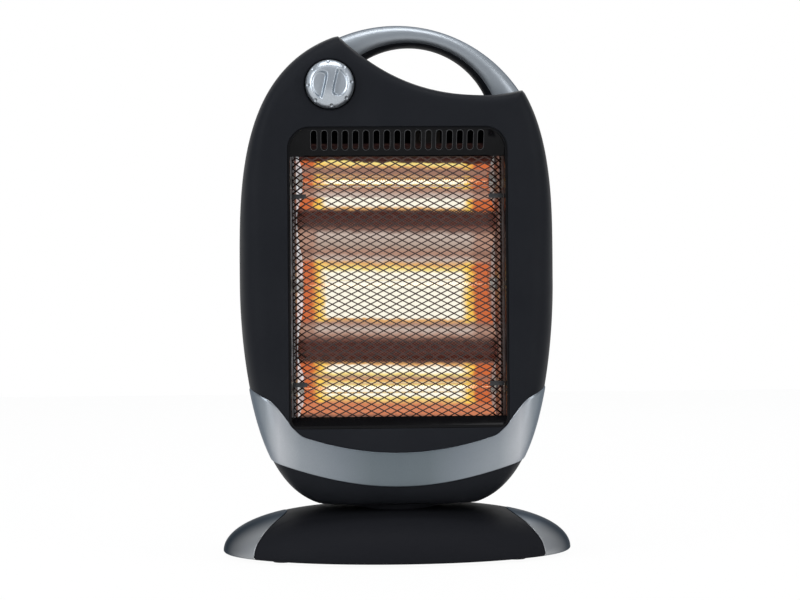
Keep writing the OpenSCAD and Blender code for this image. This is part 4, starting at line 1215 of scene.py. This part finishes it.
def side_mirror(name, stops):
    """A polished side wall with a painted reflection of the glow beside it, as emission. stops are (mm from
    the middle, colour).
    """
    near, far = stops[0][0], stops[-1][0]
    mat = material(name, (0.12, 0.11, 0.11), 0.25, 1.0, Emission_Strength=0.85)
    tree, bsdf = shader(mat)
    x, _, _ = object_place(tree)
    place = map_range(tree, from_middle(tree, x), near * MM, far * MM, smooth_it=False)
    shown = ramp(tree, place, [((q - near) / (far - near), c) for q, c in stops])
    dim = map_range(tree, noise(tree, 7, 3, (1, 1, 0.7)), 0.35, 0.65, 0.0, 0.45)
    feed(tree, mix_colour(tree, dim, shown, (0.02, 0.016, 0.015)), bsdf.inputs["Emission Color"])
    return mat


def hot_filament():
    """Hot metal that cools towards the lamp's ends."""
    mat = material("hot_filament", (0.9, 0.7, 0.4), 0.5, Emission_Strength=0.95)
    tree, bsdf = shader(mat)
    x, _, _ = object_place(tree)
    cooled = map_range(tree, from_middle(tree, x), 58 * MM, 72 * MM)
    feed(tree, mix_colour(tree, cooled, HOT, EMBER), bsdf.inputs["Emission Color"])
    return mat


def quartz():
    mat = material("quartz", (1, 1, 1), 0.02, 0.0, Transmission_Weight=1.0, IOR=1.2)
    return textured(mat, grain=(14, 0.05, 0.1))


def coil(node, z):
    """A tungsten coil along the lamp's axis, with its straight leads."""
    turns, sides, half, r, wire_r, lead_in, lead_end = 64, 6, 74, 1.5, 0.42, 78, 90.5
    t = np.linspace(0, 1, turns * 12 + 1)
    a = 2 * math.pi * turns * t
    centre = np.stack([half * (2 * t - 1), LAMP_Y + r * np.cos(a), z + r * np.sin(a)], 1)
    lead, tail = [[[x, LAMP_Y, z] for x in ends] for ends in ((-lead_end, -lead_in), (lead_in, lead_end))]
    line = np.concatenate([lead, centre, tail])
    return tube(node + "_coil", line, wire_r, sides, hot_metal, "head", [node])


def tube(name, centre, r, sides, mat, body, replaces):
    """A tube swept along a line of points, with flat ends."""
    tangent = np.gradient(centre, axis=0)
    tangent /= np.linalg.norm(tangent, axis=1)[:, None]
    u = np.cross(tangent, [0.3, 1.0, 0.1])
    u /= np.linalg.norm(u, axis=1)[:, None]
    v = np.cross(tangent, u)
    w = circle(sides)
    rings = [c + r * (np.cos(w)[:, None] * p + np.sin(w)[:, None] * q) for c, p, q in zip(centre, u, v)]
    faces = capped_faces(len(rings), sides)
    return new_piece(name, np.concatenate(rings), faces, mat, body, replaces, sharp=60)


hot_metal = hot_filament()
BRIGHT, GREY, SHADE = srgb(222, 226, 230), srgb(150, 150, 148), srgb(40, 38, 40)
# Painted reflections on the side walls: the glow, a painted highlight and painted shade, by the distance from
# the middle.
SIDE_SHOWN = {
    "left": [(84, ORANGE), (85.2, EMBER), (85.8, BRIGHT), (90.4, BRIGHT), (91.2, SHADE), (93, SHADE)],
    "right": [(84, ORANGE), (86.4, CLAY), (87.4, GREY), (89, GREY), (89.6, SHADE), (90.8, SHADE),
              (91.6, DUSK), (93, DUSK)],
}
M["quartz"] = quartz()
for side, stops in SIDE_SHOWN.items():
    set_material(nodes["reflector_side_" + side].data, side_mirror(side + "_mirror", stops))
    set_material(nodes["lamp_bracket_" + side].data, M["dark_steel"])
LAMPS = {"upper": LAMP_MID + LAMP_PITCH, "middle": LAMP_MID, "lower": LAMP_MID - LAMP_PITCH}
for level in LAMPS:
    lamp = nodes["lamp_tube_" + level].data
    set_material(lamp, M["quartz"])
    smooth(lamp, 40)

front_shell()
knob_seat()
rear_shell()
trim_band()
handle()
knob()
base_cover()
end_cap(-1, "base_end_cap_left")
end_cap(1, "base_end_cap_right")
expanded_guard()
reflector()
for level, z in LAMPS.items():
    coil("filament_" + level, z)
dressed("window_frame", 0.45, M["window_black"])
slot_rims()
dressed("turntable_ring", 0.3, M["base_black"])
dressed("grille_clips", 0.2, M["switch_plastic"])
